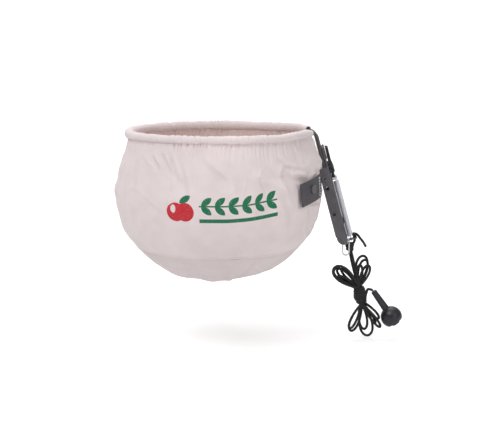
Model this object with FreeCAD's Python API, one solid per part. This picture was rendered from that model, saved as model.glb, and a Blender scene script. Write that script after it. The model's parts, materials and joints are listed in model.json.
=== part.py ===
import FreeCAD, Part

import math
import os

# Fruit picker basket: a cloth catch bag on a steel rod hoop, carried by a channel bracket that
# fits over the end of a wooden pole, with a cord-operated bypass cutter beside the hoop.
# All sizes are in millimetres. +Z is up, +X points from the bag towards the bracket and +Y
# points from the near side to the far side. The origin is on the axis of the upper pole
# screw hole, midway between the bracket's two flanges.
#
# The bracket leans back over the bag. Everything mounted on it is drawn in the pole frame,
# where x points outward from the bag and z runs up the pole, and is then turned by the lean.

# Driving dimensions: bracket
POLE_LEAN = -15.0
SHEET = 2.0
BEND_RADIUS = 2.5
CHANNEL_HALF_WIDTH = 14.75
CHANNEL_OPEN_X = -4.0
CHANNEL_WEB_X = 7.0
CHANNEL_BOTTOM_Z = -66.0
CHANNEL_TOP_Z = 23.0
TONGUE_HALF_WIDTH = 13.0
TONGUE_TOP_Z = 48.0
SCREW_HOLE_RADIUS = 2.2
SCREW_SPACING = 30.0
STOP_PIN_Z = 11.5
STOP_PIN_RADIUS = 2.0
STOP_PIN_WALL = 0.7
RIVET_RADIUS = 1.5
SADDLE_RIVETS = [(-5.5, 28.75), (5.5, 28.75)]
BLADE_RIVETS = [(9.0, 34.0), (9.0, 43.0)]

# Driving dimensions: hoop and bag
HOOP_CENTRE = FreeCAD.Vector(-120.0, 0.0, 61.0)
HOOP_RADIUS = 99.5
ROD_RADIUS = 2.0
LEG_Y = 10.5
LEG_X = 2.95
LEG_BOTTOM_Z = 19.0
LEG_TOP_Z = 57.0
SADDLE_X = (-0.6, 0.9)
ROUND_END_DEG = 50.0
FLARE = [(83.7, 54.2, 1.2), (93.6, 35.5, 2.0), (100.0, 22.5, 1.2), (105.0, 14.0, 0.0)]
HEM_END = 2
BAG_AXIS_X = -121.5
CLOTH = 1.2
HEM_RADIUS = 4.4
HEM_BORE_RADIUS = 2.35
SEAM_RADIUS = 87.0
SEAM_DROP = 127.0

# Driving dimensions: cutter and pull
PIVOT_Y = -2.5
PIVOT_Z = 20.0
PIVOT_RADIUS = 3.0
FIXED_BLADE_THICKNESS = 1.5
BLADE_X = 8.6
BLADE_THICKNESS = 3.2
BLADE_LENGTH = 28.0
BLADE_LEAN = 14.0
ARM_RADIUS = 11.0
ARM_HALF_WIDTH = 4.5
ARM_RISE = 18.0
HEEL_LENGTH = 11.5
DRIVE_PIN_RADIUS = 2.0
PULL_TRAVEL = 6.8
BAR_X = 7.1
BAR_THICKNESS = 1.4
BAR_Y = (4.0, 12.0)
BAR_TOP_Z = 27.4
TAB_X_END = 19.0
SLIDE_GAP = 0.15
CLEAT_Z = (-45.0, -39.0)
CLEAT_WALL = 1.5
CLEAT_LIP = 1.0
CLEAT_OVER_BAR = 1.3
GUIDE_PIN_Y = 8.0
GUIDE_PIN_Z = 8.0
GUIDE_PIN_RADIUS = 1.75
GUIDE_PIN_COLLAR = 2.9
SPRING_X = 12.1
SPRING_RADIUS = 3.3
SPRING_WIRE = 0.45
SPRING_COIL_Z = (-62.0, 4.2)
SPRING_FOOT_Y = 10.4
SPRING_FOOT_RADIUS = 2.4
CORD_RADIUS = 1.25
CORD_TURN_RADIUS = 1.6
CORD_HOLE_X = 16.2

# Driving dimensions: guide ring, cord hank and knob
RING_Y = -10.5
RING_WIRE = 0.8
RING_HOLE_RADIUS = 1.5
RING_HALF_WIDTH = 3.6
RING_HOLE_Z = -59.8
RING_LENGTH = 19.0
KNOT_CENTRE = FreeCAD.Vector(8.5, 6.0, -72.8)
KNOT_RADIUS = 4.8
HANK_WAIST = FreeCAD.Vector(37.0, 0.0, -114.0)
HANK_FOOT = FreeCAD.Vector(41.0, 0.0, -132.5)
STRAND_BUNDLE = 2.2
KNOB_TOP = FreeCAD.Vector(54.1, 0.0, -118.6)
KNOB_TILT = 35.0
KNOB_LENGTH = 43.4
KNOB_BALL_RADIUS = 12.1
KNOB_BALL_AT = 36.3
KNOB_STEM_RADIUS = 3.3
KNOB_BORE = 1.6
KNOB_POCKET = 4.2
KNOB_POCKET_FROM = 31.8

# Driving dimensions: fastening strap
STRAP_RADIUS = 116.0
LEATHER = 1.6
STRAP_MID_DEG = -28.25
STRAP_MID_Z = 3.3
STRAP_LENGTH = 50.0
STRAP_WIDTH = 25.5
STRAP_DROOP = 8.0
STUD_DEG = -29.0
STUD_Z = 4.8
STUD_RADIUS = 5.0
STUD_SHANK = 1.5

V = FreeCAD.Vector
X_AXIS = V(1, 0, 0)
Y_AXIS = V(0, 1, 0)
Z_AXIS = V(0, 0, 1)
ORIGIN = V(0, 0, 0)


# ---- Small building blocks ----

def pole_frame(shape):
    """Turn a shape drawn in the leaning pole frame into its place in the object."""
    turned = shape.copy()
    turned.rotate(ORIGIN, Y_AXIS, POLE_LEAN)
    return turned


def pole_point(point):
    """The object-frame position of a point given in the pole frame."""
    return FreeCAD.Rotation(Y_AXIS, POLE_LEAN).multVec(point)


def block(x_range, y_range, z_range):
    """A rectangular block between the given limits."""
    return Part.makeBox(
        x_range[1] - x_range[0],
        y_range[1] - y_range[0],
        z_range[1] - z_range[0],
        V(x_range[0], y_range[0], z_range[0]),
    )


def disc(y, z, radius, x_from, x_to):
    """A round pin or disc whose axis runs along x."""
    return Part.makeCylinder(radius, x_to - x_from, V(x_from, y, z), X_AXIS)


def cross_pin(x, z, radius, half_length):
    """A round pin whose axis runs along y, centred on y = 0."""
    return Part.makeCylinder(radius, 2 * half_length, V(x, -half_length, z), Y_AXIS)


def rounded_wire(corners, place):
    """A closed outline of (u, v, corner radius) triples; place(u, v) gives each 3-D point."""
    points = [V(u, v, 0) for u, v, _ in corners]
    runs = []
    for i, (_, _, radius) in enumerate(corners):
        corner = points[i]
        back = (points[i - 1] - corner).normalize()
        ahead = (points[(i + 1) % len(points)] - corner).normalize()
        if radius == 0:
            runs.append((corner, None, corner))
            continue
        half_angle = back.getAngle(ahead) / 2
        setback = radius / math.tan(half_angle)
        inward = (back + ahead).normalize()
        middle = corner + inward * (radius / math.sin(half_angle) - radius)
        runs.append((corner + back * setback, middle, corner + ahead * setback))
    edges = []
    for i, (start, middle, end) in enumerate(runs):
        if middle is not None:
            edges.append(Part.Arc(*[place(p.x, p.y) for p in (start, middle, end)]).toShape())
        next_start = runs[(i + 1) % len(runs)][0]
        edges.append(Part.makeLine(place(end.x, end.y), place(next_start.x, next_start.y)))
    return Part.Wire(edges)


def plate_across_x(corners, x_from, x_to):
    """A flat plate facing along x, from (y, z, corner radius) corners."""
    wire = rounded_wire(corners, lambda y, z: V(x_from, y, z))
    return Part.Face(wire).extrude(V(x_to - x_from, 0, 0))


def slot_across_x(y, z_from, z_to, half_width, x_from, x_to):
    """A round-ended slot running along z, cut through plates that face along x."""
    slot = block((x_from, x_to), (y - half_width, y + half_width), (z_from, z_to))
    for z_end in (z_from, z_to):
        slot = slot.fuse(disc(y, z_end, half_width, x_from, x_to))
    return slot.removeSplitter()


def round_bar(path, radius):
    """A round bar swept along a wire."""
    start = path.OrderedVertexes[0].Point
    first = path.OrderedEdges[0]
    along = first.tangentAt(first.Curve.parameter(start))
    ring = Part.Wire(Part.makeCircle(radius, start, along))
    return path.makePipeShell([ring], True, False)


def smooth_edge(points):
    """A curve that runs smoothly through the points."""
    curve = Part.BSplineCurve()
    curve.interpolate(points)
    return curve.toShape()


def smooth_path(points):
    """A wire that runs smoothly through the points."""
    return Part.Wire(smooth_edge(points))


# ---- Head bracket ----

def channel():
    """The folded channel that takes the pole, with its free corners rounded."""
    inner = CHANNEL_HALF_WIDTH - SHEET
    section = [
        (CHANNEL_OPEN_X, -CHANNEL_HALF_WIDTH, 0),
        (CHANNEL_WEB_X, -CHANNEL_HALF_WIDTH, BEND_RADIUS),
        (CHANNEL_WEB_X, CHANNEL_HALF_WIDTH, BEND_RADIUS),
        (CHANNEL_OPEN_X, CHANNEL_HALF_WIDTH, 0),
        (CHANNEL_OPEN_X, inner, 0),
        (CHANNEL_WEB_X - SHEET, inner, BEND_RADIUS - SHEET),
        (CHANNEL_WEB_X - SHEET, -inner, BEND_RADIUS - SHEET),
        (CHANNEL_OPEN_X, -inner, 0),
    ]
    wire = rounded_wire(section, lambda x, y: V(x, y, CHANNEL_BOTTOM_Z))
    body = Part.Face(wire).extrude(V(0, 0, CHANNEL_TOP_Z - CHANNEL_BOTTOM_Z))
    side_view = [
        (CHANNEL_OPEN_X, CHANNEL_BOTTOM_Z, 8),
        (CHANNEL_WEB_X, CHANNEL_BOTTOM_Z, 0),
        (CHANNEL_WEB_X, CHANNEL_TOP_Z, 0),
        (CHANNEL_OPEN_X, CHANNEL_TOP_Z, 3),
    ]
    side = rounded_wire(side_view, lambda x, z: V(x, -CHANNEL_HALF_WIDTH, z))
    return body.common(Part.Face(side).extrude(V(0, 2 * CHANNEL_HALF_WIDTH, 0)))


def tongue():
    """The flat tongue above the channel, with the open throat that takes the fruit stalk."""
    corners = [
        (-TONGUE_HALF_WIDTH, 10, 0),
        (TONGUE_HALF_WIDTH, 10, 0),
        (TONGUE_HALF_WIDTH, TONGUE_TOP_Z - 4, 4),
        (6.5, TONGUE_TOP_Z - 0.5, 2.5),
        (0.3, 31.5, 3),
        (-6.0, TONGUE_TOP_Z, 2.5),
        (-TONGUE_HALF_WIDTH, TONGUE_TOP_Z - 2, 4),
    ]
    return plate_across_x(corners, CHANNEL_WEB_X - SHEET, CHANNEL_WEB_X)


def bar_cleat(side):
    """A hooked cleat on the web that keeps the pull bar close to it, at one edge of the bar."""
    bar_edge = BAR_Y[1] if side > 0 else BAR_Y[0]
    inner, outer = bar_edge + side * SLIDE_GAP, bar_edge + side * (SLIDE_GAP + CLEAT_WALL)
    lip_end = bar_edge - side * CLEAT_OVER_BAR
    lip_x = BAR_X + BAR_THICKNESS + SLIDE_GAP
    wall = block((CHANNEL_WEB_X - SHEET / 2, lip_x + CLEAT_LIP), sorted((inner, outer)), CLEAT_Z)
    lip = block((lip_x, lip_x + CLEAT_LIP), sorted((lip_end, outer)), CLEAT_Z)
    return wall.fuse(lip)


def web_hole(y, z, radius):
    """A cutter for a round hole through the web or the tongue."""
    return disc(y, z, radius, CHANNEL_WEB_X - SHEET - 1, CHANNEL_WEB_X + 1)


def head_bracket():
    """Channel, tongue and cleats in one piece of painted steel, with its holes."""
    shape = channel().fuse([tongue(), bar_cleat(1), bar_cleat(-1)])
    through = CHANNEL_HALF_WIDTH + 1
    holes = [
        cross_pin(0, 0, SCREW_HOLE_RADIUS, through),
        cross_pin(0, -SCREW_SPACING, SCREW_HOLE_RADIUS, through),
        cross_pin(0, STOP_PIN_Z, STOP_PIN_RADIUS, through),
        web_hole(PIVOT_Y, PIVOT_Z, PIVOT_RADIUS),
        web_hole(GUIDE_PIN_Y, GUIDE_PIN_Z, GUIDE_PIN_RADIUS),
        web_hole(RING_Y, RING_HOLE_Z, RING_HOLE_RADIUS),
    ]
    holes += [web_hole(y, z, RIVET_RADIUS) for y, z in SADDLE_RIVETS + BLADE_RIVETS]
    return shape.cut(holes).removeSplitter()


def pole_stop_pin():
    """Rolled hollow pin pressed across the channel, which the pole's end butts against."""
    pin = cross_pin(0, STOP_PIN_Z, STOP_PIN_RADIUS, CHANNEL_HALF_WIDTH)
    return pin.cut(cross_pin(0, STOP_PIN_Z, STOP_PIN_RADIUS - STOP_PIN_WALL, CHANNEL_HALF_WIDTH))


# ---- Hoop and its clamp ----

def hoop_point(azimuth_deg):
    """A point on the round part of the hoop."""
    angle = math.radians(azimuth_deg)
    return HOOP_CENTRE + V(HOOP_RADIUS * math.cos(angle), HOOP_RADIUS * math.sin(angle), 0)


def hoop_leg(side, z):
    """A point on one of the two straight legs of the hoop."""
    return pole_point(V(LEG_X, side * LEG_Y, z))


def hoop_flare(side, end):
    """Curve from the round part towards the leg, where the rod rises and closes in."""
    start = hoop_point(side * ROUND_END_DEG)
    turned = math.radians(ROUND_END_DEG)
    leave = V(math.sin(turned), -side * math.cos(turned), 0)
    points = [start] + [HOOP_CENTRE + V(x, side * y, z) for x, y, z in FLARE]
    points.append(hoop_leg(side, LEG_TOP_Z))
    curve = Part.BSplineCurve()
    curve.interpolate(Points=points, InitialTangent=leave, FinalTangent=-pole_point(Z_AXIS))
    if end == "hem":
        curve.segment(0, curve.parameter(points[HEM_END + 1]))
    return curve.toShape()


def hoop_wire(end):
    """The hoop's centre line, up to its leg feet or up to the ends of the hem."""
    arc = Part.Arc(hoop_point(ROUND_END_DEG), hoop_point(180), hoop_point(-ROUND_END_DEG))
    edges = [hoop_flare(1, end), arc.toShape(), hoop_flare(-1, end)]
    if end == "leg":
        edges += [
            Part.makeLine(hoop_leg(side, LEG_BOTTOM_Z), hoop_leg(side, LEG_TOP_Z))
            for side in (-1, 1)
        ]
    return Part.Wire(Part.__sortEdges__(edges))


def hoop():
    """Round steel rod bent to a hoop, with two legs that go down inside the tongue."""
    return round_bar(hoop_wire("leg"), ROD_RADIUS)


def hoop_saddle():
    """Plate that holds both hoop legs against the tongue."""
    corners = [(-13, 26.5, 1), (13, 26.5, 1), (13, 31, 1), (-13, 31, 1)]
    plate = plate_across_x(corners, *SADDLE_X)
    return plate.cut([disc(y, z, RIVET_RADIUS, -1, 2) for y, z in SADDLE_RIVETS])


def saddle_rivets():
    """Two shouldered rivets between the saddle and the tongue."""
    rivets = []
    for y, z in SADDLE_RIVETS:
        shank = disc(y, z, RIVET_RADIUS, SADDLE_X[0], CHANNEL_WEB_X)
        shoulder = disc(y, z, 2.5, SADDLE_X[1], CHANNEL_WEB_X - SHEET)
        head = disc(y, z, 2.3, SADDLE_X[0] - 0.9, SADDLE_X[0])
        rivets.append(shank.fuse([shoulder, head]).removeSplitter())
    return Part.Compound(rivets)


# ---- Cutter ----

def fixed_blade():
    """Fixed half of the cutter, on the far horn of the tongue, with a hollow cutting edge."""
    x_from, x_to = CHANNEL_WEB_X, CHANNEL_WEB_X + FIXED_BLADE_THICKNESS
    edge_top, edge_foot = V(x_from, 5.0, 47.0), V(x_from, -0.2, 31.0)
    wire = Part.Wire([
        Part.Arc(edge_top, V(x_from, 3.0, 38.6), edge_foot).toShape(),
        Part.makeLine(edge_foot, V(x_from, 12.4, 30.0)),
        Part.makeLine(V(x_from, 12.4, 30.0), V(x_from, 12.4, 42.0)),
        Part.Arc(V(x_from, 12.4, 42.0), V(x_from, 10.6, 45.9), edge_top).toShape(),
    ])
    blade = Part.Face(wire).extrude(V(x_to - x_from, 0, 0))
    return blade.cut([disc(y, z, RIVET_RADIUS, x_from - 1, x_to + 1) for y, z in BLADE_RIVETS])


def fixed_blade_rivets():
    """Two flush rivets that hold the fixed blade on the tongue."""
    x_from, x_to = CHANNEL_WEB_X - SHEET, CHANNEL_WEB_X + FIXED_BLADE_THICKNESS
    return Part.Compound([disc(y, z, RIVET_RADIUS, x_from, x_to) for y, z in BLADE_RIVETS])


def blade_outline(x, bevel):
    """Outline of the swinging blade, with its full cutting edge drawn in by the bevel."""
    back, heel = 4.6, 4.6 - bevel
    tip = V(x, 0.2 - bevel * 0.5, BLADE_LENGTH - bevel)
    return Part.Wire([
        Part.makeLine(V(x, -back, 0), V(x, -2.8, BLADE_LENGTH - 2)),
        Part.makeLine(V(x, -2.8, BLADE_LENGTH - 2), tip),
        Part.Arc(tip, V(x, 4.3 - bevel, 17.0), V(x, heel, 6.0)).toShape(),
        Part.makeLine(V(x, heel, 6.0), V(x, heel, 0)),
        Part.makeLine(V(x, heel, 0), V(x, -back, 0)),
    ])


def moving_blade():
    """Swinging half of the cutter: hub, blade with a full cutting edge, driven arm and heel."""
    x_from, x_to = BLADE_X, BLADE_X + BLADE_THICKNESS
    hub = disc(0, 0, 6.5, x_from, x_to)
    blade = Part.makeLoft([blade_outline(x_from, 0), blade_outline(x_to, 1.2)], True, True)
    arm = block((x_from, x_to), (0, ARM_RADIUS), (-ARM_HALF_WIDTH, ARM_HALF_WIDTH))
    arm = arm.fuse(disc(ARM_RADIUS, 0, ARM_HALF_WIDTH, x_from, x_to))
    arm.rotate(ORIGIN, X_AXIS, ARM_RISE - BLADE_LEAN)
    heel = block((x_from, x_to), (-4.0, 4.0), (-HEEL_LENGTH + 4.0, 0))
    heel = heel.fuse(disc(0, -HEEL_LENGTH + 4.0, 4.0, x_from, x_to))
    shape = hub.fuse([blade, arm, heel])
    slot_half, slot_y = DRIVE_PIN_RADIUS + 0.12, (ARM_RADIUS - 0.7, ARM_RADIUS + 0.1)
    slot = block((x_from - 1, x_to + 1), slot_y, (-slot_half, slot_half))
    for y in slot_y:
        slot = slot.fuse(disc(y, 0, slot_half, x_from - 1, x_to + 1))
    slot.rotate(ORIGIN, X_AXIS, ARM_RISE - BLADE_LEAN)
    shape = shape.cut([slot, disc(0, 0, PIVOT_RADIUS + 0.05, x_from - 1, x_to + 1)])
    shape = shape.removeSplitter()
    shape.rotate(ORIGIN, X_AXIS, BLADE_LEAN)
    shape.translate(V(0, PIVOT_Y, PIVOT_Z))
    return shape


def pivot_bolt():
    """Low-headed pivot bolt of the swinging blade."""
    top = BLADE_X + BLADE_THICKNESS + 0.05
    shank = disc(PIVOT_Y, PIVOT_Z, PIVOT_RADIUS, -1.0, top)
    head = disc(PIVOT_Y, PIVOT_Z, 5.0, top, top + 1.2)
    screwdriver_slot = block((top + 0.6, top + 2), (PIVOT_Y - 5, PIVOT_Y + 5),
                             (PIVOT_Z - 0.5, PIVOT_Z + 0.5))
    return shank.fuse(head).removeSplitter().cut(screwdriver_slot)


def pivot_spacer():
    """Ring that holds the swinging blade off the tongue, in line with the fixed blade."""
    ring = disc(PIVOT_Y, PIVOT_Z, 5.5, CHANNEL_WEB_X, BLADE_X)
    return ring.cut(disc(PIVOT_Y, PIVOT_Z, PIVOT_RADIUS, 0, 20))


def pivot_washer():
    """Washer under the pivot nut, inside the channel."""
    ring = disc(PIVOT_Y, PIVOT_Z, 5.5, 4.0, CHANNEL_WEB_X - SHEET)
    return ring.cut(disc(PIVOT_Y, PIVOT_Z, PIVOT_RADIUS, 0, 20))


def pivot_nut():
    """Hexagon nut on the inner end of the pivot bolt, 10 mm across flats."""
    corner_radius = 5.0 / math.cos(math.radians(30))
    angles = [math.radians(60 * i + 30) for i in range(6)]
    corners = [
        (PIVOT_Y + corner_radius * math.sin(a + math.radians(60)),
         PIVOT_Z + corner_radius * math.cos(a + math.radians(60)), 0)
        for a in angles
    ]
    nut = plate_across_x(corners[::-1], 0.0, 4.0)
    return nut.cut(disc(PIVOT_Y, PIVOT_Z, PIVOT_RADIUS, -1, 6))


# ---- Pull bar, guide pin and return spring ----

def drive_pin_place():
    """The drive pin's (y, z) at rest, on the raised end of the blade's arm."""
    rise = math.radians(ARM_RISE)
    return PIVOT_Y + ARM_RADIUS * math.cos(rise), PIVOT_Z + ARM_RADIUS * math.sin(rise)


def pull_bar():
    """Flat bar that slides down the web, with a bent-out tab for the spring and the cord."""
    x_to = BAR_X + BAR_THICKNESS
    foot = CHANNEL_BOTTOM_Z
    corners = [(BAR_Y[0], foot, 0), (BAR_Y[1], foot, 0),
               (BAR_Y[1], BAR_TOP_Z, 2), (BAR_Y[0], BAR_TOP_Z, 2)]
    bar = plate_across_x(corners, BAR_X, x_to)
    tab_outline = [(BAR_X, BAR_Y[0], 0), (TAB_X_END, BAR_Y[0], 2.5),
                   (TAB_X_END, BAR_Y[1], 2.5), (BAR_X, BAR_Y[1], 0)]
    tab_wire = rounded_wire(tab_outline, lambda x, y: V(x, y, foot))
    tab = Part.Face(tab_wire).extrude(V(0, 0, BAR_THICKNESS))
    pin_y, pin_z = drive_pin_place()
    holes = [
        slot_across_x(GUIDE_PIN_Y, GUIDE_PIN_Z - 0.15, GUIDE_PIN_Z + PULL_TRAVEL + 0.3,
                      GUIDE_PIN_RADIUS + 0.15, BAR_X - 1, x_to + 1),
        disc(pin_y, pin_z, DRIVE_PIN_RADIUS, BAR_X - 1, x_to + 1),
        Part.makeCylinder(1.3, 4, V(SPRING_X, GUIDE_PIN_Y, foot - 1), Z_AXIS),
        Part.makeCylinder(2.2, 4, V(CORD_HOLE_X, GUIDE_PIN_Y, foot - 1), Z_AXIS),
    ]
    return bar.fuse(tab).removeSplitter().cut(holes)


def drive_pin():
    """Rivet on the bar that turns the blade through the slot in its arm."""
    y, z = drive_pin_place()
    blade_face = BLADE_X + BLADE_THICKNESS
    shank = disc(y, z, DRIVE_PIN_RADIUS, BAR_X, blade_face + 0.15)
    head = disc(y, z, 3.0, blade_face + 0.15, blade_face + 1.15)
    return shank.fuse(head).removeSplitter()


def guide_pin():
    """Headed pin on the web that guides the bar and holds the spring's upper hook."""
    y, z = GUIDE_PIN_Y, GUIDE_PIN_Z
    collar_x = (BAR_X + BAR_THICKNESS + 0.1, SPRING_X - 2 * SPRING_WIRE)
    head_x = (SPRING_X + 2 * SPRING_WIRE, SPRING_X + 2 * SPRING_WIRE + 1)
    return disc(y, z, GUIDE_PIN_RADIUS, CHANNEL_WEB_X - SHEET, head_x[1]).fuse([
        disc(y, z, 3.0, 3.8, CHANNEL_WEB_X - SHEET),
        disc(y, z, GUIDE_PIN_COLLAR, *collar_x),
        disc(y, z, GUIDE_PIN_COLLAR, *head_x),
    ]).removeSplitter()


def spring_eye(y, z, radius):
    """A closed end hook of the spring, standing in the plane across x."""
    return Part.makeTorus(radius, SPRING_WIRE, V(SPRING_X, y, z), X_AXIS)


def return_spring():
    """Close-wound extension spring, drawn as a sleeve with its two end hooks."""
    mean = SPRING_RADIUS - SPRING_WIRE
    coil_foot, coil_top = SPRING_COIL_Z
    coil = Part.makeCylinder(SPRING_RADIUS, coil_top - coil_foot,
                             V(SPRING_X, GUIDE_PIN_Y, coil_foot), Z_AXIS)
    coil = coil.cut(Part.makeCylinder(SPRING_RADIUS - 2 * SPRING_WIRE, coil_top - coil_foot,
                                      V(SPRING_X, GUIDE_PIN_Y, coil_foot), Z_AXIS))
    upper_z = GUIDE_PIN_Z + GUIDE_PIN_RADIUS + 0.1 + SPRING_WIRE - mean
    lower_z = CHANNEL_BOTTOM_Z + BAR_THICKNESS / 2
    upper_neck = smooth_path([
        V(SPRING_X, GUIDE_PIN_Y + mean, coil_top - 0.6),
        V(SPRING_X, GUIDE_PIN_Y + mean * 0.98, coil_top + 0.9),
        V(SPRING_X, GUIDE_PIN_Y + mean * 0.95, upper_z - mean * 0.3),
    ])
    lower_neck = smooth_path([
        V(SPRING_X, GUIDE_PIN_Y + mean, coil_foot + 0.6),
        V(SPRING_X, GUIDE_PIN_Y + mean, coil_foot - 0.4),
        V(SPRING_X, SPRING_FOOT_Y, lower_z + SPRING_FOOT_RADIUS),
    ])
    return coil.fuse([
        spring_eye(GUIDE_PIN_Y, upper_z, mean),
        spring_eye(SPRING_FOOT_Y, lower_z, SPRING_FOOT_RADIUS),
        round_bar(upper_neck, SPRING_WIRE),
        round_bar(lower_neck, SPRING_WIRE),
    ])


def cord_knot():
    """The pull cord's knot below the tab, with its turn through the tab and its free end."""
    y = GUIDE_PIN_Y
    turn = V(SPRING_X + SPRING_RADIUS + CORD_TURN_RADIUS + 0.2, y, -62.1)
    through_tab = smooth_path([
        V(CORD_HOLE_X, y, -62.5), V(CORD_HOLE_X, y, -67.0), V(13.0, 7.2, -70.8), KNOT_CENTRE,
    ])
    free_end = smooth_path([
        turn, V(TAB_X_END + 1.2, y, -62.6), V(TAB_X_END + 2.9, y, -67.3), V(26.2, y + 1, -78.6),
    ])
    return Part.makeSphere(KNOT_RADIUS, KNOT_CENTRE).fuse([
        Part.makeSphere(CORD_TURN_RADIUS, turn),
        round_bar(through_tab, CORD_RADIUS),
        round_bar(free_end, CORD_RADIUS),
    ])


# ---- Guide ring ----

def cord_guide_ring():
    """Long wire ring that hangs straight down from a hole at the foot of the web."""
    hole = V(CHANNEL_WEB_X - SHEET / 2, RING_Y, RING_HOLE_Z)
    left, right = hole.x - RING_HALF_WIDTH, hole.x + RING_HALF_WIDTH
    top, bottom = hole.z, hole.z - RING_LENGTH
    high, low = top - RING_HALF_WIDTH, bottom + RING_HALF_WIDTH
    path = Part.Wire([
        Part.makeLine(V(left, RING_Y, low), V(left, RING_Y, high)),
        Part.Arc(V(left, RING_Y, high), V(hole.x, RING_Y, top), V(right, RING_Y, high)).toShape(),
        Part.makeLine(V(right, RING_Y, high), V(right, RING_Y, low)),
        Part.Arc(V(right, RING_Y, low), V(hole.x, RING_Y, bottom), V(left, RING_Y, low)).toShape(),
    ])
    path.rotate(hole, Y_AXIS, -POLE_LEAN)
    return round_bar(path, RING_WIRE)


# ---- Cord hank and knob ----

def cord_loop(root, angle_deg, length, width):
    """A flat drop-shaped loop of cord strands that leaves a point in the given direction."""
    along = V(math.cos(math.radians(angle_deg)), 0, math.sin(math.radians(angle_deg)))
    across = V(-along.z, 0, along.x)
    thickness = V(0, 2 * STRAND_BUNDLE, 0)
    corners = [(0, 0, 0.5), (length, -width / 2, width * 0.4), (length, width / 2, width * 0.4)]

    def place(u, v):
        return root + along * u + across * v - thickness / 2

    centre_line = rounded_wire(corners, place)
    outside = Part.Face(centre_line.makeOffset2D(STRAND_BUNDLE)).extrude(thickness)
    inside = Part.Face(centre_line.makeOffset2D(-STRAND_BUNDLE)).extrude(thickness)
    return outside.cut(inside)


def cord_hank():
    """The spare pull cord, folded in loops that are bound round the middle."""
    knot = pole_point(KNOT_CENTRE)
    hang = (HANK_WAIST - knot).normalize()
    lead = Part.makeCylinder(2.5, (HANK_WAIST - knot).Length - KNOT_RADIUS - 1.5,
                             knot + hang * (KNOT_RADIUS + 1.5), hang)
    waist_axis = HANK_FOOT - HANK_WAIST
    binding = Part.makeCylinder(6.0, waist_axis.Length, HANK_WAIST, waist_axis)
    to_knob = KNOB_TOP - HANK_WAIST
    knob_lead = Part.makeCylinder(CORD_RADIUS, to_knob.Length - 4.5, HANK_WAIST, to_knob)
    return binding.fuse([
        Part.makeSphere(6.0, HANK_WAIST),
        Part.makeSphere(6.0, HANK_FOOT),
        lead,
        knob_lead,
        cord_loop(HANK_WAIST, 141.0, 34.0, 15.0),
        cord_loop(HANK_WAIST, 79.0, 38.0, 13.0),
        cord_loop(HANK_FOOT, -111.0, 35.0, 9.0),
        cord_loop(HANK_FOOT, -79.0, 38.5, 14.0),
    ])


def knob_frame(shape):
    """Place a shape drawn along +Z from the knob's top onto the hanging knob."""
    placed = shape.copy()
    placed.rotate(ORIGIN, Y_AXIS, 180.0 - KNOB_TILT)
    placed.translate(KNOB_TOP)
    return placed


def pull_knob():
    """Moulded pull knob: a stem that runs into a ball with a flat end, bored for the cord."""
    flat = math.sqrt(KNOB_BALL_RADIUS ** 2 - (KNOB_LENGTH - KNOB_BALL_AT) ** 2)
    neck_radius = KNOB_STEM_RADIUS + 0.8
    neck_at = KNOB_BALL_AT - math.sqrt(KNOB_BALL_RADIUS ** 2 - neck_radius ** 2)
    crown = V(KNOB_BALL_RADIUS, 0, KNOB_BALL_AT)
    outline = Part.Wire([
        Part.makeLine(V(0, 0, 0), V(KNOB_STEM_RADIUS - 0.6, 0, 0)),
        Part.makeLine(V(KNOB_STEM_RADIUS - 0.6, 0, 0), V(KNOB_STEM_RADIUS, 0, 0.8)),
        Part.makeLine(V(KNOB_STEM_RADIUS, 0, 0.8), V(neck_radius, 0, neck_at)),
        Part.Arc(V(neck_radius, 0, neck_at), crown, V(flat, 0, KNOB_LENGTH)).toShape(),
        Part.makeLine(V(flat, 0, KNOB_LENGTH), V(0, 0, KNOB_LENGTH)),
        Part.makeLine(V(0, 0, KNOB_LENGTH), V(0, 0, 0)),
    ])
    knob = Part.Face(outline).revolve(ORIGIN, Z_AXIS, 360)
    bore = Part.makeCylinder(KNOB_BORE, KNOB_LENGTH, V(0, 0, -1), Z_AXIS)
    pocket = Part.makeCylinder(KNOB_POCKET, KNOB_LENGTH, V(0, 0, KNOB_POCKET_FROM), Z_AXIS)
    return knob_frame(knob.cut([bore, pocket]))


def knob_cap():
    """Push-in cap that closes the knob's knot pocket."""
    cap = Part.makeCylinder(5.0, 2.8, V(0, 0, KNOB_LENGTH), Z_AXIS)
    cap = cap.makeFillet(0.9, [e for e in cap.Edges if e.BoundBox.ZMin > KNOB_LENGTH + 1])
    plug = Part.makeCylinder(KNOB_POCKET, 2.6, V(0, 0, KNOB_LENGTH - 2.6), Z_AXIS)
    return knob_frame(cap.fuse(plug).removeSplitter())


def cord_end_knot():
    """The end of the pull cord inside the knob, with the stopper knot in its pocket."""
    knot_at = KNOB_BALL_AT + 0.1
    tail = Part.makeCylinder(CORD_RADIUS, knot_at - 1.0, V(0, 0, 0.5), Z_AXIS)
    return knob_frame(tail.fuse(Part.makeSphere(3.6, V(0, 0, knot_at))))


# ---- Bag ----

def bag_hem():
    """Cloth tube sewn round the hoop, open where the hoop meets the bracket."""
    outer = round_bar(hoop_wire("hem"), HEM_RADIUS)
    return outer.cut(round_bar(hoop_wire("hem"), HEM_BORE_RADIUS))


def bag_section(outer_points):
    """A closed section of cloth thickness inside the outer points, in the plane y = 0."""
    rim = HOOP_CENTRE.z
    outer = [V(BAG_AXIS_X + r, 0, rim - drop) for r, drop in outer_points]
    inner = [V(BAG_AXIS_X + max(r - CLOTH, 0), 0, rim - drop) for r, drop in outer_points]
    return outer, inner


def turn_section(edges):
    """Turn a closed section about the bag's axis into a full round shell."""
    face = Part.Face(Part.Wire(Part.__sortEdges__(edges)))
    return face.revolve(V(BAG_AXIS_X, 0, 0), Z_AXIS, 360)


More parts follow.
